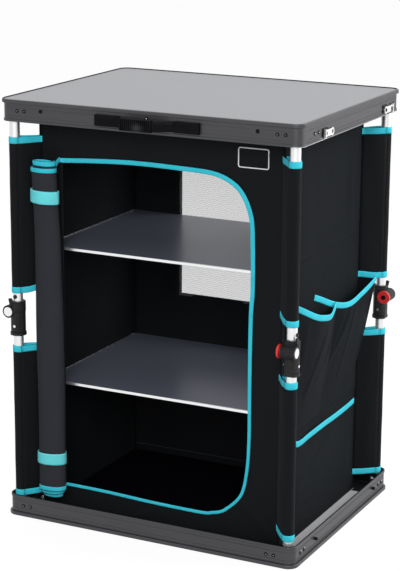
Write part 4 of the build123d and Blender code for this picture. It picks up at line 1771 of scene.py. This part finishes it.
@dataclass
class Handle:
    """Strap that bends from the handle's mounts to its grip.

    Each half is its outer and inner end, how far it laps over the mount, and how far in front of
    the mount it starts and bends.
    """

    rise: float = 0.777
    mount: float = -0.235
    grip: float = -0.251
    height: float = 0.018
    thickness: float = 0.003
    lap_out: float = 0.0056
    left: tuple[float, ...] = (-0.0497, -0.0393, 0.022, 0.0062, 0.008)
    right: tuple[float, ...] = (0.0577, 0.0233, 0.0, 0.0, 0.004)

    def build(self) -> None:
        """Make the strap on both sides of the grip."""
        for name, half in (("left", self.left), ("right", self.right)):
            outer, inner, lap, begin, bend = half
            flat = [
                (outer, self.mount - begin), (outer + (inner - outer) * 0.3, self.mount - bend),
                (outer + (inner - outer) * 0.7, self.grip + 0.003), (inner, self.grip)]
            if lap:
                flat.insert(0, (outer - lap, self.mount - self.lap_out))
            path = smooth_path([Vector((x, y, self.rise)) for x, y in flat], 8)
            strap = tape_object(
                f"{name}_handle_strap", path, UP, self.height, self.thickness, BLACK_MOULDING)
            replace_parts(strap, "handle_strap")
            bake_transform(strap)
        LOG.info("handle straps")


@dataclass
class Trims:
    """Thin rigid pieces on the trays, shelves and buttons.

    A floor cover's outline runs along its inner edge, cover, to its corner's own cover_near, from
    there out to the wall, and back round cover_far.
    """

    half_x: float = 0.300
    half_y: float = 0.235
    corner: float = 0.020
    shelf_half: float = 0.2421
    front_wall: float = 0.2321
    side_wall: float = 0.2971
    socket_radius: float = 0.0046
    socket_place: tuple[float, float] = (-0.013, 0.4)
    socket_depth: tuple[float, float] = (0.0196, 0.0204)
    glint_pin_size: tuple[float, float] = (0.0009, 0.0006)
    strip_size: tuple[float, float] = (0.0026, 0.0009)
    cover: tuple[tuple[float, float], ...] = ((0.196, 0.1822), (0.2470, 0.1822))
    cover_far: tuple[float, float] = (0.2943, 0.2293)
    cover_near: tuple[float, ...] = (0.120, 0.170, 0.170, 0.120)
    cover_radius: float = 0.014
    screw: Triple = (0.0030, -0.2310, 0.7868)

    def build(self) -> None:
        """Make the lines on the trays, the rivets' bright pins, which are partly painted highlight,
        the covers and the end strips.
        """
        self.lines()
        self.rivet_glint_pins("top_rivet_glint_pins", "top_tray", (-0.262, -0.247, 0.252, 0.267),
                  (-0.174, -0.157, 0.187, 0.203), (0.7796, 0.7760))
        self.rivet_glint_pins("bottom_rivet_glint_pins", "root", (-0.264, -0.249, 0.243, 0.258),
                  (-0.198, -0.181, 0.187, 0.203), (0.0204, 0.0240))
        for index in range(4):
            self.floor_cover(index)
            self.socket(Corner(index))
        out = Vector((0, -1, 0))
        place = Vector(self.screw)
        self.domes("grip_screw", [(place, out)], 0.0034, 0.0020, RIVET_STEEL, "top_tray")
        # A small bright steel dome in the middle of the dark screw stands in for its glint: painted
        # highlight.
        place += out * 0.0018
        self.domes("grip_screw_glint", [(place, out)], 0.0013, 0.0008, STEEL, "top_tray")
        for name, z in (("upper_shelf", 0.5227), ("lower_shelf", 0.2627)):
            for side, x in (("left", -self.shelf_half), ("right", self.shelf_half)):
                path = [Vector((x, y, z)) for y in spread(-0.171, 0.170, 12)]
                strip = tape_object(
                    f"{name}_{side}_strip", path, ACROSS, *self.strip_size, STEEL)
                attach(strip, name)
        LOG.info("trims")

    def ring(self, inset: float, z: float) -> list[Vector]:
        """Return the tray's outline, moved inwards by the inset.

        Args:
            inset: How far it is moved in.
            z: Its height.

        Returns:
            The outline, from the right wall's rear end on round the back.
        """
        x, y, radius = self.half_x - self.corner, self.half_y - self.corner, self.corner - inset
        return [
            Vector((sign_x * x + c * radius, sign_y * y + s * radius, z))
            for first, sign_x, sign_y in ((0, 1, 1), (90, -1, 1), (180, -1, -1), (270, 1, -1))
            for c, s in arc(first, first + 90, 7)]

    def lines(self) -> None:
        """Make the thin lines round the panels and on the trays' edges: dark cords of painted shade
        round the table, a bright cord of painted highlight along the top tray's lower lip, a dark
        seam round the floor and a dark band on the bottom tray's top edge.
        """
        lip = self.ring(0.0029, 0.7602)
        for name, path, radius, finish, closed, body in (
            # Dark cord in the gap between the table and its rim: painted shade of that gap.
            ("table_gap_painted_shade", self.ring(0.0046, 0.79945), 0.0006, BLACK_OXIDE, True, "top_tray"),
            # Thicker dark cord along the back and left edges, where the rim's inner wall lies in
            # shadow: painted shade.
            ("table_far_edge_painted_shade", self.ring(0.0028, 0.7999)[3:18], 0.0011, BLACK_OXIDE, False,
             "top_tray"),
            # Bright metal cord along the right part of the top tray's lower lip: painted highlight.
            ("tray_lip_painted_highlight", lip[21:] + lip[:4], 0.0007, LIP_HIGHLIGHT_METAL, False, "top_tray"),
            ("floor_seam", self.ring(0.0066, 0.0062), 0.0007, BLACK_OXIDE, True, "root"),
        ):
            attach(cord_object(name, path, radius, finish, closed), body)
        # A dark band along the inner edge of the bottom tray's top lip.
        path = self.ring(0.0042, 0.04052)
        sides = [outer - inner for outer, inner in zip(path, self.ring(0.0052, 0.04052))]
        dark_band = tape_object("tray_edge_dark_band", path, sides, 0.0026, 0.0005, BLACK_OXIDE, True)
        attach(dark_band, "root")

    def socket(self, corner: Corner) -> None:
        """Make the dark recessed middle of one release button.

        Args:
            corner: The leg's corner.
        """
        x, z = self.socket_place
        first, second = [
            [corner.point(x + self.socket_radius * c, y, z + self.socket_radius * s)
             for c, s in circle(20)]
            for y in self.socket_depth]
        disc = plate_object(f"button_socket_{corner.name}", first, second, BLACK_OXIDE)
        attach(disc, f"button_{corner.name}")

    def domes(
        self, name: str, tops: Sequence[tuple[Vector, Vector]], radius: float, rise: float,
        finish: Finish, body: str,
    ) -> None:
        """Make low domes that stand on the trays.

        Args:
            name: The piece's name.
            tops: The middle of each dome's foot, and the direction in which it stands out.
            radius: Radius of its foot.
            rise: Its height.
            finish: What it is finished with.
            body: The body that it rides on.
        """
        count, profile = 16, ((1.0, -0.1), (1.0, 0.35), (0.8, 0.75), (0.4, 1.0))
        rows = len(profile)
        one = [tuple(range(count)), tuple(range(rows * count - 1, (rows - 1) * count - 1, -1))]
        one += quads(rows, count, columns_close=True)
        points, faces = [], []
        for middle, out in tops:
            faces += [tuple(len(points) + number for number in face) for face in one]
            side = UP.cross(out)
            points += [
                middle + (side * c + UP * s) * (radius * reach) + out * (rise * height)
                for reach, height in profile for c, s in circle(count)]
        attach(mesh_object(name, points, faces, finish), body)

    def rivet_glint_pins(
        self, name: str, body: str, front: Sequence[float], right: Sequence[float],
        rises: tuple[float, float],
    ) -> None:
        """Make the bright pin in the middle of each rivet, on all four walls of a tray. It is the
        rivet's steel mandrel, and it also stands in for the rivet's glint: partly painted
        highlight.

        Args:
            name: The piece's name.
            body: The body that it rides on.
            front: Places along the front wall. The back has them turned half round.
            right: Places along the right wall. The left has them turned half round.
            rises: Heights of the rivets at the front and at the right.
        """
        tops = []
        for sign in (1, -1):
            ahead, across = Vector((0, -sign, 0)), Vector((sign, 0, 0))
            tops += [(Vector((sign * x, -sign * self.front_wall, rises[0])), ahead) for x in front]
            tops += [(Vector((sign * self.side_wall, sign * y, rises[1])), across) for y in right]
        self.domes(name, tops, *self.glint_pin_size, STEEL, body)

    def floor_cover(self, index: int) -> None:
        """Make the black cover on the floor at one corner.

        Args:
            index: The corner's number.
        """
        sign_x, sign_y = CORNER_SIGNS[index]
        far_x, far_y = self.cover_far
        near_y, radius = self.cover_near[index], self.cover_radius
        flat = [*self.cover, (self.cover[1][0], near_y), (far_x, near_y)]
        flat += [
            (far_x - radius * (1 - c), far_y - radius * (1 - s)) for c, s in arc(0, 90, 7)]
        flat.append((self.cover[0][0], far_y))
        foot, top = [
            [Vector((sign_x * x, sign_y * y, z)) for x, y in flat] for z in (0.0057, 0.0068)]
        plate = plate_object(f"floor_cover_{CORNER_NAMES[index]}", foot, top, BLACK_MOULDING)
        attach(plate, "root")


# Studio

@dataclass
class Lamp:
    """One soft lamp."""

    name: str
    place: Triple
    target: Triple
    size: tuple[float, float]
    power: float

    def build(self) -> None:
        """Make the lamp."""
        data = bpy.data.lights.new(self.name, "AREA")
        data.shape = "RECTANGLE"
        data.size, data.size_y = self.size
        data.energy = self.power
        made = bpy.data.objects.new(self.name, data)
        made.location = self.place
        aim = Vector(self.target) - Vector(self.place)
        made.rotation_euler = aim.to_track_quat("-Z", "Y").to_euler()
        made.visible_camera = False
        bpy.context.scene.collection.objects.link(made)


@dataclass
class Studio:
    """Floor, light and camera.

    The camera's angles are in degrees, and its focal length is in pixels of the photograph.
    """

    azimuth: float = 26.401
    elevation: float = 14.628
    roll: float = 0.373
    distance: float = 3.4757
    target: Triple = (-0.00619, 0.0, 0.43256)
    focal: float = 1830.97
    frame_height: float = 571.0
    sensor: float = 36.0
    floor_half: float = 14.0
    floor_glow: float = 1.1
    floor_share: float = 0.8
    world: float = 0.52
    lamps: tuple[Lamp, ...] = (
        Lamp("key", (2.6, 1.5, 1.6), (0.2, 0.0, 0.4), (2.2, 2.2), 74.0),
        Lamp("front", (1.2, -3.2, 1.9), (0.0, 0.0, 0.4), (1.8, 1.8), 62.0),
        Lamp("top", (-0.6, 0.8, 3.0), (0.0, 0.0, 0.6), (2.4, 2.4), 24.0),
    )

    def build(self) -> None:
        """Make the studio."""
        self.floor()
        self.sky()
        for lamp in self.lamps:
            lamp.build()
        self.camera()
        bpy.context.scene.view_settings.view_transform = "Standard"
        LOG.info("studio")

    def seen(self, shader: Shader) -> Value:
        """Return 1 where the backdrop is seen straight, in gloss or through glass.

        Args:
            shader: The floor's or the world's shader.

        Returns:
            The number.
        """
        path = shader.node("ShaderNodeLightPath", {}, {})
        straight, gloss, glass = (
            Value(shader, path.outputs[f"Is {kind} Ray"])
            for kind in ("Camera", "Glossy", "Transmission"))
        return shader.math("MAXIMUM", shader.math("MAXIMUM", straight, gloss), glass)

    def floor(self) -> None:
        """Make the pale floor."""
        material = bpy.data.materials.new("pale_floor")
        shader = Shader(material)
        matt = shader.node("ShaderNodeBsdfDiffuse", {}, {"Color": (0.9, 0.9, 0.9)})
        strength = self.seen(shader) * self.floor_glow
        white = {"Color": (1.0, 1.0, 1.0), "Strength": strength}
        glow = shader.node("ShaderNodeEmission", {}, white)
        inputs = {0: self.floor_share, 1: matt.outputs[0], 2: glow.outputs[0]}
        both = shader.node("ShaderNodeMixShader", {}, inputs)
        shader.node("ShaderNodeOutputMaterial", {}, {0: both.outputs[0]})
        mesh = bpy.data.meshes.new("floor")
        corners = [(x * self.floor_half, y * self.floor_half, 0.0) for x, y in CORNER_SIGNS]
        mesh.from_pydata(corners, [], [(0, 1, 2, 3)])
        mesh.materials.append(material)
        made = bpy.data.objects.new("floor", mesh)
        bpy.context.scene.collection.objects.link(made)

    def sky(self) -> None:
        """Make the world: white where it is seen, and a plain grey light elsewhere."""
        world = bpy.data.worlds.new("studio")
        bpy.context.scene.world = world
        shader = Shader(world)
        dim, bright = (
            shader.node("ShaderNodeBackground", {}, {"Color": (1.0, 1.0, 1.0), "Strength": power})
            for power in (self.world, 1.0))
        inputs = {0: self.seen(shader), 1: dim.outputs[0], 2: bright.outputs[0]}
        both = shader.node("ShaderNodeMixShader", {}, inputs)
        shader.node("ShaderNodeOutputWorld", {}, {0: both.outputs[0]})

    def camera(self) -> None:
        """Make the camera at the photograph's place."""
        a, e, r = (math.radians(x) for x in (self.azimuth, self.elevation, self.roll))
        back = Vector((math.sin(a) * math.cos(e), -math.cos(a) * math.cos(e), math.sin(e)))
        right = Vector((math.cos(a), math.sin(a), 0.0))
        up = back.cross(right)
        across = right * math.cos(r) + up * math.sin(r)
        upward = up * math.cos(r) - right * math.sin(r)
        data = bpy.data.cameras.new("camera")
        data.sensor_width = self.sensor
        data.lens = self.focal * self.sensor / self.frame_height
        data.clip_start, data.clip_end = 0.05, 60.0
        made = bpy.data.objects.new("camera", data)
        turned = Matrix((across, upward, back)).transposed().to_4x4()
        place = Vector(self.target) + back * self.distance
        made.matrix_world = Matrix.Translation(place) @ turned
        bpy.context.scene.collection.objects.link(made)
        bpy.context.scene.camera = made


def main() -> None:
    """Build the cupboard's looks around its frame."""
    logging.basicConfig(level=logging.INFO, format="%(name)s: %(message)s")
    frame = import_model()
    folding = Folding()
    outline = DoorOutline()
    Dressing(frame["nodes"]).build()
    Sleeves(folding).build()
    Cabinet(folding, outline).build()
    Door(folding, outline).build()
    Pockets(folding).build()
    Badge(folding).build()
    Handle().build()
    Trims().build()
    Studio().build()


if __name__ == "__main__":
    main()
